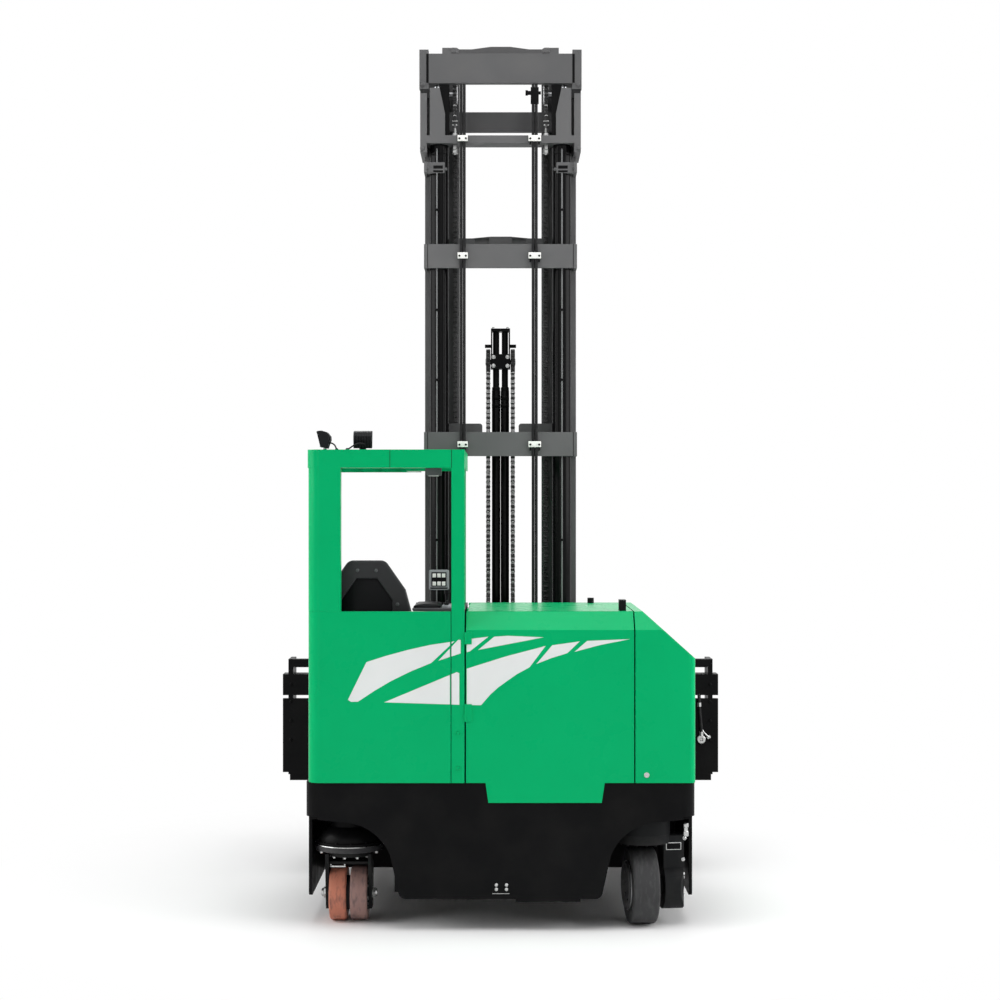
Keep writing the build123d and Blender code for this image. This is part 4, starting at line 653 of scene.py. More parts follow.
def load_wheel_pieces():
    """Tread with a parting line, dished hub and nuts of the wheels in the legs."""
    for side in ("left", "right"):
        name = "load_wheel_" + side
        low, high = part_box(name)
        centre = (low + high) / 2
        radius, half = (high.z - low.z) / 2, 0.060
        rim, bore = radius * 0.62, 0.0225
        tread = Shape().turned(wheel_profile(radius, rim, half, 0.010, ((0, 0.0012, 0.0008),)), centre, X, 72)
        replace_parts(tread.made(name + "_tread", name, "polyurethane", sharp=50), name)
        near = [(bore, half + 0.006), (bore + 0.012, half + 0.006), (bore + 0.016, half - 0.010),
                (rim - 0.014, half - 0.014), (rim - 0.006, half), (rim, half)]
        hub = Shape().turned([(r, -u) for r, u in near] + near[::-1], centre, X, 56)
        for face in (-1, 1):
            for y, z in circle(0.056, 6):
                hub.bolt(centre + Vector((face * (half - 0.013), y, z)), X * face, 0.012)
        hub.made(name + "_hub", name, "hub_iron")


# ---------------------------------------------------------------- mast

def chain_route(y_front, y_rear, z_front, z_rear, z_top):
    """Distance along a chain to its (y, z): up the front run, over the sheave and down the rear."""
    radius = (y_front - y_rear) / 2
    front, arc = z_top - z_front, math.pi * radius

    def at(distance):
        if distance < front:
            return y_front, z_front + distance
        if distance < front + arc:
            angle = (distance - front) / radius
            return (y_front + y_rear) / 2 + radius * math.cos(angle), z_top + radius * math.sin(angle)
        return y_rear, z_top - (distance - front - arc)

    return at, front + arc + z_top - z_rear


def leaf_chain(shape, x, route, length, width, thick, pitch=0.0254, rows=8):
    """Leaf chain: pins a pitch apart, and plates in staggered rows between them."""
    count = int(length / pitch)
    pins = [route((i + 0.5) * length / (count + 1)) for i in range(count + 1)]
    row = width / rows
    radius = thick / 2
    for i, (y, z) in enumerate(pins):
        shape.turned([(0, -width / 2 - 0.001), (radius * 0.45, -width / 2 - 0.001),
                      (radius * 0.45, width / 2 + 0.001), (0, width / 2 + 0.001)], (x, y, z), X, 6)
        if i == 0:
            continue
        a, b = Vector((pins[i - 1][0], pins[i - 1][1])), Vector((y, z))
        along = (b - a).normalized()
        side = Vector((-along.y, along.x))
        outline = []
        for end, way in ((a, -1), (b, 1)):
            for angle in (-70, -25, 25, 70):
                turn = math.radians(angle)
                outline.append(end + way * (along * math.cos(turn) + side * math.sin(turn)) * radius)
            outline.append((a + b) / 2 + way * side * radius * 0.62)
        outline = [tuple(p) for p in outline]
        for k in range(i % 2, rows, 2):
            low = x - width / 2 + k * row
            shape.slab(outline, "X", (low + row * 0.06, low + row * 0.94))


def chains():
    """The lift chains over the middle stage's sheaves, and the free lift's own pair."""
    thick, width, highlight_clip_pitch = 0.014, 0.020, 0.0508
    for name, body in (("lift_chains", "mast_middle"), ("free_lift_chains", "free_lift_head")):
        low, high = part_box(name)
        rear_foot = min(v.co.z for v in nodes[name].data.vertices if v.co.y < low.y + thick)
        top = high.z - (high.y - low.y) / 2
        route, length = chain_route(high.y - thick / 2, low.y + thick / 2, low.z, rear_foot, top)
        links, highlight_clips = Shape(), Shape()
        for x in (low.x + width / 2, high.x - width / 2):
            leaf_chain(links, x, route, length, width, thick)
            # The bright crescents every two pitches on the chains' rear face are painted highlights of the
            # plates' rounded ends.
            for step in range(int((top - rear_foot - 0.03) / highlight_clip_pitch)):
                z = rear_foot + 0.03 + step * highlight_clip_pitch
                arc = [(math.radians(20 + 28 * k), 0.0095) for k in range(6)]
                arc += [(angle, 0.0062) for angle, _ in reversed(arc)]
                highlight_clips.slab([(x + math.cos(a) * r, z + math.sin(a) * r * 0.9) for a, r in arc], "Y",
                           (low.y - 0.0008, low.y + 0.0006))
        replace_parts(links.made(name + "_links", body, "chain_steel", sharp=40), name)
        highlight_clips.made(name + "_clips", body, "bright_zinc", slot="chain_steel")


def chain_anchors():
    """Bright nuts and threads of the anchors that hold the chains' rear ends."""
    low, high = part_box("lift_chains")
    shape, lug = Shape(), Shape()
    for x in (low.x + 0.010, high.x - 0.010):
        place = Vector((x, low.y + 0.007, 0))
        for foot, head in ((3.775, 3.797), (3.715, 3.737), (3.696, 3.712)):
            nut = [(0.0, foot), (0.0135, foot), (0.0156, foot + 0.0015), (0.0156, head - 0.0015),
                   (0.0135, head), (0.0, head)]
            shape.turned(nut, place, Z, hexagon)
            shape.bar(place + Z * (foot - 0.0022), place + Z * foot, 0.0165, 20, 0.0005)
        thread = [(0.0, 3.688)]
        for step in range(24):
            z = 3.689 + step * 0.0055
            thread += [(0.0072, z), (0.0083, z + 0.0022), (0.0083, z + 0.003), (0.0072, z + 0.0052)]
        thread.append((0.0, thread[-1][1]))
        shape.turned(thread, place, Z, 16)
        for z in (3.838, 3.858):
            lug.bar((x - 0.013, place.y, z), (x + 0.013, place.y, z), 0.0035, 12, 0.0006)
    shape.made("chain_anchor_nuts", "reach_carriage", "bright_zinc", slot="bearing_steel")
    lug.made("chain_anchor_pins", "mast_middle", "bright_zinc", slot="chain_steel")


def hoses():
    """Round hoses in the place of the CAD ones, with their clamps on three of the beams."""
    low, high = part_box("mast_hoses")
    beams = ((2.217, 2.249), (3.157, 3.190), (3.742, 3.774))
    middle_y = high.y - 0.0065
    runs, pads, blocks, screws, fitting = Shape(), Shape(), Shape(), Shape(), Shape()
    for middle, half in ((low.x + 0.0255, 0.0255), (high.x - 0.0315, 0.0315)):
        for x in (middle - 0.0078, middle + 0.0078):
            runs.bar((x, middle_y, low.z), (x, middle_y, high.z), 0.0075, 24, 0.001)
        for foot, head in beams:
            pads.box((middle - half, middle_y - 0.0035, foot), (middle + half, high.y, head))
            blocks.box((middle - half, low.y, foot + 0.0012),
                       (middle + half, middle_y - 0.0035, head - 0.0012))
            for side in (-1, 1):
                place = (middle + side * (half - 0.0095), low.y - 0.0002, (foot + head) / 2 - 0.002)
                screws.turned(screw_head(0.0042, 0.0028), place, Y, 14)
    for start, end, radius in ((-0.038, -0.019, 0.0105), (-0.046, -0.034, 0.014), (0.019, 0.031, 0.0085)):
        fitting.bar((middle + start, middle_y, 3.985), (middle + end, middle_y, 3.985),
                    radius, hexagon, 0.001)
    fitting.box((middle - 0.020, middle_y - 0.010, 3.93), (middle + 0.020, middle_y + 0.006, 4.012))
    for foot, head in beams:
        for x in (middle - 0.022, middle + 0.022):
            fitting.bar((x, middle_y - 0.002, foot - 0.016), (x, middle_y - 0.002, foot + 0.002),
                        0.0045, 8, 0.001)
    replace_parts(runs.made("hose_runs", "reach_carriage", "hose_rubber"), "mast_hoses")
    pads.made("hose_pads", "reach_carriage", "hose_rubber", bevel=0.0008)
    blocks.made("hose_clamps", "reach_carriage", "white_plastic", slot="hose_rubber",
                bevel=0.0022, segments=3)
    screws.made("hose_clamp_screws", "reach_carriage", "black_paint", slot="hose_rubber")
    fitting.made("hose_fitting", "reach_carriage", "black_paint", slot="hose_rubber", bevel=0.0015)


def mast_fittings():
    """Bolts, dark strips, buffers, glands and a pale pipe up each cylinder on the fixed stage, and lugs and
    dark strips on the middle stage's head; the pale pipe paints the cylinder's highlight line, the strips on
    the beams' ends and on the head paint shade.
    """
    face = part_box("mast_outer")[0].y
    saddle = rear + 0.899
    barrel_low, barrel_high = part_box("lift_barrels")
    radius, gland = (barrel_high.y - barrel_low.y) / 2, barrel_high.z
    head_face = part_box("mast_middle")[0].y
    bolts, dark, glands, buffers, highlight_pipes, highlight_clips, backs, lugs, gap_shade = (Shape() for _ in range(9))
    for side in (-1, 1):
        for x, y, z, size in ((0.3905, face - 0.0005, 3.710, 0.016), (0.366, saddle, 3.616, 0.014),
                              (0.274, saddle + 0.010, 3.610, 0.012)):
            bolts.bolt((side * x, y, z), -Y, size)
        # Dark strips on the beams' ends paint the shade of a gap beside the rails, so the beams look set in
        # between them.
        for foot, head in ((0.900, 1.020), (2.174, 2.294), (3.113, 3.232)):
            dark.box((side * 0.3622, face - 0.0006, foot), (side * 0.3650, face + 0.001, head))
        for foot, head in ((3.611, 3.627), (3.593, 3.603)):
            dark.box((side * 0.288, saddle - 0.0008, foot), (side * 0.336, saddle + 0.001, head))
        buffers.box((side * 0.354, face + 0.001, 3.960), (side * 0.401, face + 0.030, 4.0055))
        glands.turned([(0.0285, gland - 0.0002), (radius - 0.002, gland - 0.0002),
                       (radius - 0.001, gland + 0.003), (radius - 0.001, gland + 0.040),
                       (radius - 0.006, gland + 0.0465), (0.0285, gland + 0.0465)],
                      (side * (barrel_high.x - radius), (barrel_low.y + barrel_high.y) / 2, 0), Z, 48)
        # A pale pipe up each lift cylinder paints the cylinder's highlight line; black clip pieces hold it.
        x, y = (-0.318, 0.307)[side > 0], rear + 0.9037
        highlight_pipes.tube([(x, y, 0.46), (x, y, 3.680), (x, y, 3.705), (x, y + 0.008, 3.712), (x, y + 0.020, 3.712)],
                   0.0037, 16)
        for z in (1.35, 1.75, 2.55, 2.90, 3.40):
            highlight_clips.box((x - 0.009, y - 0.0060, z), (x + 0.009, y + 0.006, z + 0.012))
        backs.box((side * 0.255, face + 0.0064, 3.776), (side * 0.306, face + 0.0080, 4.030))
        lugs.turned([(0, 0), (0.021, 0), (0.023, 0.002), (0.023, 0.022), (0.020, 0.025), (0, 0.025)],
                    (side * 0.232, head_face + 0.014, 4.187), Z, hexagon)
        lugs.bolt((side * 0.388, head_face + 0.0008, 4.03), -Y, 0.020)
        # A dark strip each side of the head's beam paints the shade of a gap between the beam and its end
        # block.
        gap_shade.box((side * 0.3585, head_face - 0.0006, 4.037), (side * 0.3705, head_face + 0.002, 4.182))
    bolts.made("mast_beam_bolts", "reach_carriage", "mast_paint", slot="black_paint")
    dark.made("mast_shade_lines_and_stripes", "reach_carriage", "black_paint")
    buffers.made("mast_buffers", "reach_carriage", "hose_rubber", bevel=0.002)
    glands.made("cylinder_glands", "reach_carriage", "mast_cylinder")
    highlight_pipes.made("cylinder_highlight_pipes", "reach_carriage", "highlight_pipe_paint", slot="mast_cylinder")
    highlight_clips.made("pipe_highlight_clips", "reach_carriage", "black_paint", slot="mast_cylinder", bevel=0.0015)
    backs.made("gusset_backs", "reach_carriage", "black_paint")
    lugs.made("mast_head_lugs", "mast_middle", "stage_paint", slot="black_paint")
    gap_shade.made("mast_head_gap_shade", "mast_middle", "black_paint")


def cylinders():
    """Round barrels and rods of the lift cylinders in the place of the faceted CAD ones."""
    for name, body, finish in (("lift_barrels", "reach_carriage", "mast_cylinder"),
                               ("lift_rods", "mast_middle", "rod_chrome"),
                               ("free_lift_barrel", "mast_inner", "mast_cylinder")):
        low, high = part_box(name)
        radius, y = (high.y - low.y) / 2, (low.y + high.y) / 2
        shape = Shape()
        for x in (low.x + radius, high.x - radius):
            shape.bar((x, y, low.z), (x, y, high.z), radius, 64, 0.002)
        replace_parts(shape.made(name + "_round", body, finish), name)


def free_lift_details():
    """Gland rings on the two slim cylinders, sheave pins' caps and the crosshead's bolts."""
    low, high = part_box("free_lift_barrel")
    radius, middle_y = (high.y - low.y) / 2, (low.y + high.y) / 2
    glands, caps = Shape(), Shape()
    for x in (low.x + radius, high.x - radius):
        glands.turned(stepped(0.0168, radius - 0.001, 0, 0.014, radius - 0.004, 0.018),
                      (x, middle_y, high.z), Z, 40)
        for z in (high.z - 0.09, high.z - 0.05):
            glands.turned([(radius - 0.0002, 0), (radius + 0.0004, 0.001), (radius + 0.0004, 0.021),
                           (radius - 0.0002, 0.022)], (x, middle_y, z), Z, 40)
    for side in (-1, 1):
        caps.turned(stepped(0, 0.019, 0, 0.002, 0.015, 0.004), (side * 0.0735, middle_y, 2.664), X * side, 32)
        for z in (2.642, 2.687):
            caps.bolt((side * 0.036, middle_y - 0.040, z), -Y, 0.014)
        for y in (middle_y - 0.025, middle_y + 0.025):
            caps.bolt((side * 0.036, y, 2.833), Z, 0.013)
    glands.made("free_lift_glands", "mast_inner", "black_paint", slot="mast_cylinder")
    caps.made("crosshead_bolts", "free_lift_head", "bright_zinc", slot="black_paint")


# ---------------------------------------------------------------- cab

def stuffed(name, outline, along, span, body, finish, rests, cap=0.012, voxel=0.006, seams=()):
    """A padded cover: a closed form that cloth simulation swells, held flat where it rests."""
    shape = Shape().slab(outline, along, span)
    piece = shape.made(name, body, finish, sharp=180, bevel=0.012, segments=3)
    scene = bpy.context.scene
    swelling_frames = 20

    def evaluated():
        return piece.evaluated_get(bpy.context.evaluated_depsgraph_get())

    grid = piece.modifiers.new("grid", "REMESH")
    grid.mode = "VOXEL"
    grid.voxel_size = voxel
    piece.data = bpy.data.meshes.new_from_object(evaluated())
    piece.modifiers.clear()
    held = piece.vertex_groups.new(name="held")
    held.add([v.index for v in piece.data.vertices if rests(v.co)], 1.0, "REPLACE")
    cover = piece.modifiers.new("cover", "CLOTH")
    cover.settings.quality = 6
    cover.settings.use_pressure = True
    cover.settings.uniform_pressure_force = 4
    cover.settings.effector_weights.gravity = 0
    cover.settings.vertex_group_mass = "held"
    for step in range(1, swelling_frames + 1):
        scene.frame_set(step)
    moved = [v.co.copy() for v in evaluated().data.vertices]
    piece.modifiers.clear()
    for vert, place in zip(piece.data.vertices, moved):
        away = place - vert.co
        vert.co += away * min(1.0, cap / max(away.length, 0.000001))
    scene.frame_set(1)
    for face in piece.data.polygons:
        face.use_smooth = True
    finer = piece.modifiers.new("finer", "SUBSURF")
    finer.levels = finer.render_levels = 1
    piece.data = bpy.data.meshes.new_from_object(evaluated())
    piece.modifiers.clear()
    normals = [v.normal.copy() for v in piece.data.vertices]
    for vert, normal in zip(piece.data.vertices, normals):
        sunk = [depth * math.exp(-(seam(vert.co) / width) ** 2) for seam, depth, width in seams]
        vert.co -= normal * max(sunk + [0])
    return piece


def seat():
    """Backrest and cushion with sewn channels, and the shell's recess and screws."""
    low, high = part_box("seat_pads")
    shell_low, shell_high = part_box("seat_shell")
    middle = (low.x + high.x) / 2
    face = shell_high.y + 0.001
    half = ((0.195, 1.030), (0.185, 1.440), (0.158, 1.535), (0.112, 1.632), (0.062, 1.655))

    def channel(height):
        return lambda p: abs(p.z - height) if abs(p.x - middle) < 0.118 and p.y > face + 0.03 else 1.0

    def side_seam(p):
        return abs(abs(p.x - middle) - 0.121) if p.y > face + 0.03 and p.z < 1.6 else 1.0

    seams = [(channel(z), 0.006, 0.007) for z in (1.17, 1.28, 1.39, 1.50)]
    seams += [(side_seam, 0.007, 0.007), (lambda p: abs(p.y - face - 0.040), 0.003, 0.005)]
    back = stuffed("backrest", mirrored(middle, half), "Y", (face, face + 0.058), "truck", "seat_cloth",
                   lambda p: p.y < face + 0.006, 0.014, 0.006, seams)
    foot, head = 1.0105, 1.106
    start, depth = face + 0.080, 0.450
    plan = rounded((middle - 0.2, start), (middle + 0.2, start + depth), 0.045, 3)

    def row(place):
        return lambda p: abs(p.y - place) if abs(p.x - middle) < 0.125 and p.z > 1.08 else 1.0

    def bolster(p):
        return abs(abs(p.x - middle) - 0.128) if p.z > 1.08 and p.y < start + depth - 0.03 else 1.0

    seams = [(row(start + share * depth), 0.006, 0.007) for share in (0.25, 0.5, 0.75)]
    seams += [(bolster, 0.008, 0.008), (lambda p: abs(p.z - 1.078), 0.003, 0.005)]
    cushion = stuffed("seat_cushion", plan, "Z", (foot, head), "truck", "seat_cloth",
                      lambda p: p.z < foot + 0.006, 0.014, 0.006, seams)
    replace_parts(back, "seat_pads")
    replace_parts(cushion, "seat_pads")
    recess = mirrored(middle, ((0.116, 1.152), (0.116, 1.4915), (0.0472, 1.591)))
    inset = Shape().slab(recess, "Y", (rear + 0.1562, rear + 0.1575))
    inset.made("seat_shell_inset", "truck", "black_plastic", bevel=0.0004)
    screws = Shape()
    for side in (-1, 1):
        for x, z in ((0.043, 1.629), (0.141, 1.473), (0.160, 1.10)):
            screws.turned([(0, -0.003), (0.006, -0.003), (0.0085, -0.001), (0.0085, 0.001), (0, 0.001)],
                          (middle + side * x, shell_low.y, z), Y, 18)
    screws.made("seat_screws", "truck", "grey_trim", slot="black_plastic")


def armrest_pieces():
    """Padded armrest on its moulded body, with a palm button in its collar and four levers."""
    low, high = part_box("armrest")
    top, start, end = high.z - 0.006, low.y, high.y
    x0, x1 = low.x, high.x
    middle, pad_right, control_x = (x0 + x1) / 2, x1 - 0.050, x1 - 0.025
    body = Shape().slab([(x0 + 0.010, top - 0.040), (x1 - 0.010, top - 0.040), (x1, top - 0.030),
                         (x1, top - 0.020), (x0, top - 0.020), (x0, top - 0.030)], "Y", (start, end))
    body.box((middle - 0.024, start + 0.041, 0.605), (middle + 0.024, start + 0.119, top - 0.040))
    body.box((middle - 0.034, start + 0.030, 0.605), (middle + 0.034, start + 0.130, 0.613))
    piece = body.made("armrest_body", "truck", "grey_trim", slot="black_plastic", bevel=0.004, segments=3)
    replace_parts(piece, "armrest")
    outline = [(x0 + 0.004, top - 0.021), (pad_right, top - 0.021), (pad_right, top - 0.008),
               (x0 + 0.004, top - 0.008)]
    stuffed("armrest_pad", outline, "Y", (start + 0.006, end - 0.006), "truck", "black_plastic",
            lambda p: p.z < top - 0.019, 0.007, 0.005, [(lambda p: abs(p.z - top + 0.016), 0.002, 0.004)])
    control, button, levers = Shape(), Shape(), Shape()
    place = Vector((control_x, start + 0.025, top - 0.0205))
    control.turned(stepped(0, 0.021, 0, 0.010, 0.018, 0.014), place, Z, 40)
    control.box((x1 - 0.046, start + 0.055, top - 0.021), (x1 - 0.004, end - 0.01, top - 0.012))
    control.made("armrest_controls", "truck", "grey_plastic", slot="black_plastic", bevel=0.002)
    button.turned([(0, 0), (0.010, 0), (0.010, 0.003), (0.0145, 0.004), (0.015, 0.008), (0.013, 0.0105),
                   (0.008, 0.012), (0, 0.0125)], place + Z * 0.014, Z, 40)
    button.made("armrest_button", "truck", "black_plastic", sharp=60)
    for step in range(4):
        y = start + 0.085 + step * 0.045
        levers.bar((control_x, y, top - 0.013), (control_x, y - 0.006, top + 0.001), 0.004, 16, 0.001)
        levers.bar((control_x, y - 0.005, top - 0.001), (control_x, y - 0.007, top + 0.008), 0.008, 20, 0.003)
    levers.made("armrest_levers", "truck", "black_plastic")


def keypad():
    """Pale keypad with two rows of keys on a dark field, on a straight stalk."""
    low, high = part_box("display")
    front, side = low.y, 0.098
    x0, x1 = low.x, min(high.x, low.x + side)
    z0, z1 = high.z - side, high.z
    shell = Shape().slab(rounded((x0, z0), (x1, z1), 0.008, 4), "Y", (front + 0.003, high.y))
    piece = shell.made("keypad_shell", "truck", "grey_plastic", sharp=60, bevel=0.0022, segments=3)
    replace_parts(piece, "display")
    x, z = (x0 + x1) / 2, (z0 + z1) / 2 + 0.0025
    field, keys, stalk = Shape(), Shape(), Shape()
    field.box((x - 0.037, front + 0.0022, z - 0.034), (x + 0.037, front + 0.004, z + 0.036))
    field.box((x0 + 0.007, front + 0.0022, z0 + 0.006), (x1 - 0.007, front + 0.004, z0 + 0.0125))
    field.made("keypad_field", "truck", "black_plastic", slot="grey_plastic", bevel=0.0008)
    for u in (x - 0.0228, x, x + 0.0228):
        for v in (z - 0.0199, z + 0.0199):
            keys.box((u - 0.0085, front - 0.0005, v - 0.0098), (u + 0.0085, front + 0.003, v + 0.0098))
    keys.made("keypad_keys", "truck", "white_plastic", slot="grey_plastic", bevel=0.0015, segments=3)
    x, y = -0.262, (front + 0.003 + high.y) / 2
    stalk.tube([(x, y, 0.607), (x, y, 1.30), (x, y, 1.45), (x, y, z0 + 0.004)], 0.009, 20)
    stalk.turned(stepped(0.008, 0.024, 0, 0.005, 0.014, 0.012), (x, y, 0.605), Z, 32)
    stalk.turned([(0.008, 0), (0.014, 0), (0.014, 0.018), (0.008, 0.022)], (x, y, z0 - 0.019), Z, 32)
    stalk.made("keypad_stalk", "truck", "black_plastic", slot="grey_plastic")


def handwheel_pieces():
    """Round-rimmed handwheel with dished spokes and a cap."""
    low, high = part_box("steering_wheel")
    centre = (low + high) / 2
    section = 0.0135
    radius = (high.x - low.x) / 2 - section
    centre.z = level = high.z - section - 0.0005
    wheel = Shape().turned([(radius + u, v) for u, v in circle(section, 18)], centre, Z, 96)
    spoke_faces = [(0, 1, 3, 2), (8, 10, 11, 9)]
    for a in (0, 4):
        spoke_faces += [(a, a + 4, a + 5, a + 1), (a + 2, a + 3, a + 7, a + 6), (a, a + 2, a + 6, a + 4),
                        (a + 1, a + 5, a + 7, a + 3)]
    for across, up in circle(1, 3):
        way, side = Vector((across, up, 0)), Vector((-up, across, 0))
        points = [centre + Z * (rise + lift) + way * reach + side * flank * half
                  for reach, half, rise in ((0.015, 0.017, -0.004), (0.06, 0.011, -0.010),
                                            (radius, 0.013, 0.0))
                  for flank in (-1, 1) for lift in (-0.0035, 0.0035)]
        wheel.add(points, spoke_faces)
    wheel.turned([(0, low.z - level), (0.026, low.z - level), (0.028, -0.010), (0.028, 0.002), (0.024, 0.007),
                  (0, 0.008)], centre, Z, 48)
    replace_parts(wheel.made("handwheel", "handwheel", "black_plastic", sharp=50), "steering_wheel")
    cap = Shape().turned(stepped(0, 0.018, 0, 0.0015, 0.014, 0.003), centre + Z * 0.0075, Z, 40)
    cap.made("handwheel_cap", "handwheel", "grey_plastic", slot="black_plastic")


def dash_details():
    """Switches, key, gaiter and instrument on the console, pedal rubbers and the floor mat."""
    top = 1.180
    switches, key, pads, mat = Shape(), Shape(), Shape(), Shape()
    for step in range(4):
        x = -0.79 + step * 0.034
        switches.box((x, -0.235, top - 0.002), (x + 0.026, -0.195, top + 0.006))
    switches.made("dash_switches", "truck", "grey_plastic", slot="black_plastic", bevel=0.0025, segments=3)
    key.turned(stepped(0, 0.014, -0.001, 0.004, 0.011, 0.007), (-0.50, -0.225, top), Z, 32)
    key.box((-0.5035, -0.2262, top + 0.006), (-0.4965, -0.2238, top + 0.028))
    key.made("dash_key", "truck", "bright_zinc", slot="black_plastic", bevel=0.0004)
    screen = Shape().box((-0.72, -0.175, top - 0.001), (-0.53, -0.135, top + 0.004))
    screen.made("dash_instrument", "truck", "lens", slot="black_plastic", bevel=0.002)
    folds = []
    for fold in range(5):
        radius, z = 0.052 - fold * 0.002, fold * 0.012
        folds += [(radius, z + 0.002), (radius, z + 0.006), (0.0425, z + 0.011)]
    gaiter = Shape().turned([(0.030, 0.0)] + folds + [(0.030, 0.062)], (-0.640, rear + 1.0, top), Z, 48)
    gaiter.made("column_gaiter", "truck", "hose_rubber", slot="black_plastic", sharp=60)
    foot = Vector((0, rear + 0.965, 0.605))
    along = Vector((0, 1, 1)).normalized()
    out = Vector((0, -along.z, along.y)) * 0.005
    for x in (-0.600, -0.520):
        for rib in range(6):
            near = foot + along * (0.012 + rib * 0.0165)
            far = near + along * 0.009
            pads.slab([(p.y, p.z) for p in (near, far, far + out, near + out)], "X", (x + 0.003, x + 0.037))
    pads.made("pedal_rubbers", "truck", "hose_rubber", slot="black_plastic", bevel=0.0006)
    mat.box((-0.835, rear + 0.36, 0.6045), (-0.43, rear + 0.95, 0.608))
    for rib in range(24):
        y = rear + 0.375 + rib * 0.024
        mat.box((-0.828, y, 0.6075), (-0.437, y + 0.010, 0.6098))
    mat.made("floor_mat", "truck", "floor_mat", slot="black_plastic", bevel=0.0008, segments=1)


def lamp_details():
    """Lenses, bezels, bolts and short leads of the work lamps, and the cab lamp's cover and diffuser."""
    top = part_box("overhead_guard")[1].z
    glass, frames, bolts, leads = Shape(), Shape(), Shape(), Shape()
    for origin, way in ((Vector((-0.625, rear + 0.012, top)), Y), (Vector((-0.771, rear + 0.054, top)), -X)):
        side = way.cross(Z)
        low, high = origin + way * 0.041 + Z * 0.011, origin + way * 0.059 + Z * 0.084
        up = (high - low).normalized()
        out = (way - up * way.dot(up)).normalized()
        for shape, half, foot, head, near, far in ((frames, 0.041, 0.001, 0.0745, -0.002, 0.0035),
                                                   (glass, 0.036, 0.006, 0.0695, 0.002, 0.0046)):
            shape.add([low + side * u + up * v + out * w for u in (-half, half) for v in (foot, head)
                       for w in (near, far)], BOX_FACES)
        for u in (-0.0385, 0.0385):
            for v in (0.004, 0.0715):
                bolts.bolt(low + side * u + up * v + out * 0.0035, out, 0.005, False)
        for sign in (1, -1):
            bolts.bolt(origin + way * 0.027 + side * sign * 0.010 + Z * 0.006, side * sign, 0.009)
    back, flank = rear + 0.012, rear + 0.054
    for base, points in ((back, ((-0.615, 0.004, 0.025), (-0.625, -0.010, 0.028), (-0.650, -0.008, 0.027),
                                 (-0.672, -0.002, 0.014), (-0.694, 0.006, -0.001))),
                         (flank, ((-0.778, 0.006, 0.031), (-0.768, 0.006, 0.031), (-0.756, 0.004, 0.024),
                                  (-0.749, 0.002, 0.012), (-0.745, 0, -0.001)))):
        leads.tube([(x, base + y, top + z) for x, y, z in points], 0.0034, 12)
    for place in ((-0.694, rear + 0.018, top), (-0.745, flank, top)):
        leads.turned(stepped(0.002, 0.0075, 0, 0.003, 0.005, 0.007), place, Z, 20)
    frames.made("lamp_bezels", "truck", "lamp_casing", bevel=0.0012)
    glass.made("lamp_lenses", "truck", "lens", slot="lamp_casing", bevel=0.001)
    bolts.made("lamp_bolts", "truck", "bright_zinc", slot="lamp_casing")
    leads.made("lamp_leads", "truck", "hose_rubber", slot="lamp_casing")
    outline = [(-0.333, 2.0640), (-0.274, 2.0640), (-0.270, 2.0700), (-0.270, 2.0985), (-0.343, 2.0985),
               (-0.343, 2.0780)]
    cover = Shape().slab(outline, "Y", (rear + 0.055, rear + 0.155))
    cover.made("cab_lamp_cover", "truck", "grey_trim", slot="lamp_casing", bevel=0.003)
    diffuser = Shape().box((-0.328, rear + 0.066, 2.0620), (-0.284, rear + 0.144, 2.0645))
    diffuser.made("cab_lamp_diffuser", "truck", "white_plastic", slot="lamp_casing", bevel=0.0006)


def guard_details():
    """The roof rim's seam and a dark line of painted shade where the rim meets the post, and bolt heads low
    on the cab's rear post.
    """
    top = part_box("overhead_guard")[1].z
    seams, bolts = Shape(), Shape()
    # The strip at x -0.2215 paints the shade where the roof rim meets the post; the one at x -0.500 is a
    # seam.
    for x in (-0.500, -0.2215):
        seams.box((x - 0.0012, rear - hair, 2.0985), (x + 0.0012, rear + 0.0005, top - 0.0005))
    seams.made("roof_seam_and_shade_line", "truck", "black_paint", slot="green_paint")
    for z in (0.74, 0.90):
        bolts.bolt((-0.1925, rear, z), -Y, 0.013)
    bolts.made("post_bolts", "truck", "green_paint")


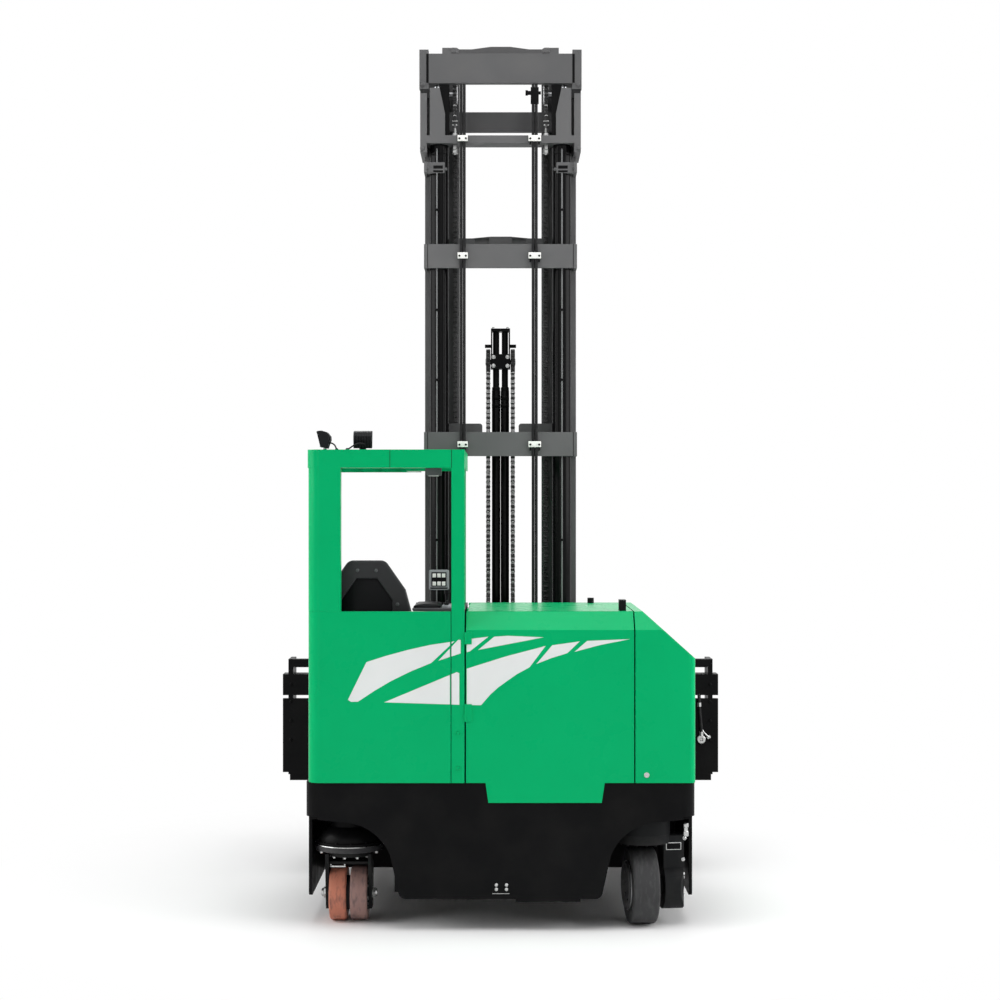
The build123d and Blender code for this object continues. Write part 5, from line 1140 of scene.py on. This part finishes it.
def fork_frame_details():
    """The ring fitting, hose and pipe on the frame's right, and the bolts on its back."""
    face = rear + 1.350
    y = face - 0.0105
    hose, fitting, pipe, bolts = Shape(), Shape(), Shape(), Shape()
    hose.tube([(1.040, face + 0.004, 0.936), (1.040, y, 0.915), (1.040, y, 0.872), (1.0470, y, 0.80),
               (1.0504, y, 0.7617), (1.0504, y, 0.727)], 0.0088, 18)
    hose.made("side_shift_hose", "fork_frame", "hose_rubber")
    fitting.turned([(0.0094, -0.018), (0.0200, -0.018), (0.0220, -0.016), (0.0220, 0.001), (0.0094, 0.001)],
                   (1.0504, face, 0.704), Y, 40)
    fitting.turned(ring(0.006, 0.0115, 0, 0.022), (1.0504, y, 0.722), Z, 24)
    fitting.turned(ring(0.006, 0.0115, 0, 0.020), (1.040, y, 0.876), Z, 24)
    fitting.bolt((1.0504, face - 0.002, 0.704), -Y, 0.0185, False)
    fitting.bolt((1.091, face, 0.714), -Y, 0.014)
    fitting.made("side_shift_fitting", "fork_frame", "bright_zinc", slot="bearing_steel")
    pipe.tube([(1.0540, y + 0.004, 0.762), (1.0630, y + 0.004, 0.741), (1.078, y + 0.004, 0.727),
               (1.091, y + 0.006, 0.716)], 0.0035, 12)
    pipe.made("side_shift_pipe", "fork_frame", "bright_zinc", slot="bearing_steel")
    for side in (-1, 1):
        for z in (0.70, 0.80, 0.90, 0.99):
            bolts.bolt((side * 1.0985, face - 0.0002, z), -Y, 0.013)
        for x in (0.30, 0.62, 0.94):
            for z in (0.60, 0.86):
                bolts.bolt((side * x, face, z), -Y, 0.020)
    bolts.made("fork_frame_bolts", "fork_frame", "black_paint")


def battery_details():
    """Cell lids, links and plugs on the battery's top."""
    low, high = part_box("battery")
    cells, links, plugs = Shape(), Shape(), Shape()
    columns, rows, margin = 6, 4, 0.025
    across, deep = (high.x - low.x - 2 * margin) / columns, (high.y - low.y - 2 * margin) / rows
    lid = high.z + 0.010
    for i in range(columns):
        for j in range(rows):
            x, y = low.x + margin + i * across, low.y + margin + j * deep
            middle = y + deep / 2
            cells.box((x + 0.003, y + 0.003, high.z - 0.001), (x + across - 0.003, y + deep - 0.003, lid))
            plugs.turned(stepped(0, 0.014, 0, 0.010, 0.010, 0.014),
                         (x + across / 2, middle, lid - 0.001), Z, 24)
            if i < columns - 1:
                links.box((x + across * 0.72, middle - 0.009, lid),
                          (x + across * 1.28, middle + 0.009, lid + 0.005))
                for share in (0.78, 1.22):
                    links.bolt((x + across * share, middle, lid + 0.005), Z, 0.010, False)
    cells.made("battery_cells", "truck", "black_plastic", slot="battery_case", bevel=0.003)
    plugs.made("battery_plugs", "truck", "white_plastic", slot="battery_case")
    links.made("battery_links", "truck", "bearing_steel", slot="battery_case", bevel=0.0008)


# ---------------------------------------------------------------- camera, light and floor

def camera():
    """Level camera behind the truck, as far away and as high as the photograph's."""
    distance, eye_height, focal_length = 8.5, 1.93, 67.7
    view = bpy.data.cameras.new("camera")
    view.lens = focal_length
    view.sensor_width = 36
    view.shift_y = 0.005
    view.shift_x = -0.0005
    view.clip_end = 200
    holder = bpy.data.objects.new("camera", view)
    holder.location = (0, rear - distance, eye_height)
    holder.rotation_euler = (math.pi / 2, 0, 0)
    bpy.context.scene.collection.objects.link(holder)
    bpy.context.scene.camera = holder


def area_light(name, place, target, size, power):
    light = bpy.data.lights.new(name, "AREA")
    light.shape = "RECTANGLE"
    light.size, light.size_y = size
    light.energy = power
    holder = bpy.data.objects.new(name, light)
    holder.location = place
    holder.rotation_euler = (Vector(target) - Vector(place)).to_track_quat("-Z", "Y").to_euler()
    bpy.context.scene.collection.objects.link(holder)


def seen_directly(tree):
    """1 for what is seen by the eye itself, in a reflection or through glass, and 0 otherwise."""
    rays = tree.nodes.new("ShaderNodeLightPath").outputs
    seen = rays["Is Camera Ray"]
    for kind in ("Is Transmission Ray", "Is Glossy Ray"):
        larger = tree.nodes.new("ShaderNodeMath")
        larger.operation = "MAXIMUM"
        tree.links.new(seen, larger.inputs[0])
        tree.links.new(rays[kind], larger.inputs[1])
        seen = larger.outputs[0]
    return seen


def studio():
    """Soft lights, and a white floor and world that stay white to the eye and in reflections."""
    area_light("top", (0.5, -2.5, 8.5), (0.2, -0.4, 0), (6, 6), 420)
    area_light("left", (-7.2, -2.4, 4.2), (0, -0.5, 1.3), (6, 5), 440)
    area_light("right", (7.2, -2.4, 4.0), (0, -0.5, 1.2), (6, 5), 500)
    area_light("front", (0, 7.0, 6.0), (0, 0.8, 1.8), (6, 4), 190)
    for side in (-1, 1):
        area_light("strip", (side * 3.2, -9.4, 3.0), (0, -0.5, 2.6), (0.4, 5.6), 38)
    world = bpy.data.worlds.new("world")
    bpy.context.scene.world = world
    world.use_nodes = True
    tree = world.node_tree
    background = tree.nodes["Background"].inputs
    seen = seen_directly(tree)
    level = tree.nodes.new("ShaderNodeMapRange")
    level.inputs["To Min"].default_value = 0.10
    tree.links.new(seen, level.inputs["Value"])
    tree.links.new(level.outputs["Result"], background["Strength"])
    background["Color"].default_value = (1, 1, 1, 1)

    finish = Finish("studio_floor")
    white = finish.add("Emission", Color=(1, 1, 1, 1), Strength=1.0)
    near = finish.add("VectorMath", {"operation": "LENGTH"})
    finish.feed(near.inputs[0], finish.place)
    far = finish.ramp(near.outputs["Value"], 1.4, 2.7)
    share = finish.math("MULTIPLY", far, seen_directly(finish.tree))
    finish.set(Base_Color=(0.9, 0.9, 0.9, 1), Roughness=0.6)
    blend = finish.add("MixShader")
    for socket, source in zip(blend.inputs, (share, finish.shader.outputs[0], white.outputs[0])):
        finish.feed(socket, source)
    finish.feed(finish.tree.nodes["Material Output"].inputs["Surface"], blend.outputs[0])
    mesh = bpy.data.meshes.new("studio_floor")
    reach, drop = 30, -0.001
    mesh.from_pydata([(-reach, -reach, drop), (reach, -reach, drop), (reach, reach, drop),
                      (-reach, reach, drop)], [], [(0, 1, 2, 3)])
    mesh.materials.append(finish.material)
    floor = bpy.data.objects.new("studio_floor", mesh)
    bpy.context.scene.collection.objects.link(floor)


camera()
studio()
stripes()
panel_fittings()
skirt_details()
twin_wheel_pieces()
slewing_ring()
drive_wheel_pieces()
load_wheel_pieces()
chains()
chain_anchors()
hoses()
cylinders()
mast_fittings()
free_lift_details()
seat()
armrest_pieces()
keypad()
handwheel_pieces()
dash_details()
lamp_details()
guard_details()
fork_frame_details()
battery_details()

bpy.context.scene.view_settings.view_transform = "Standard"
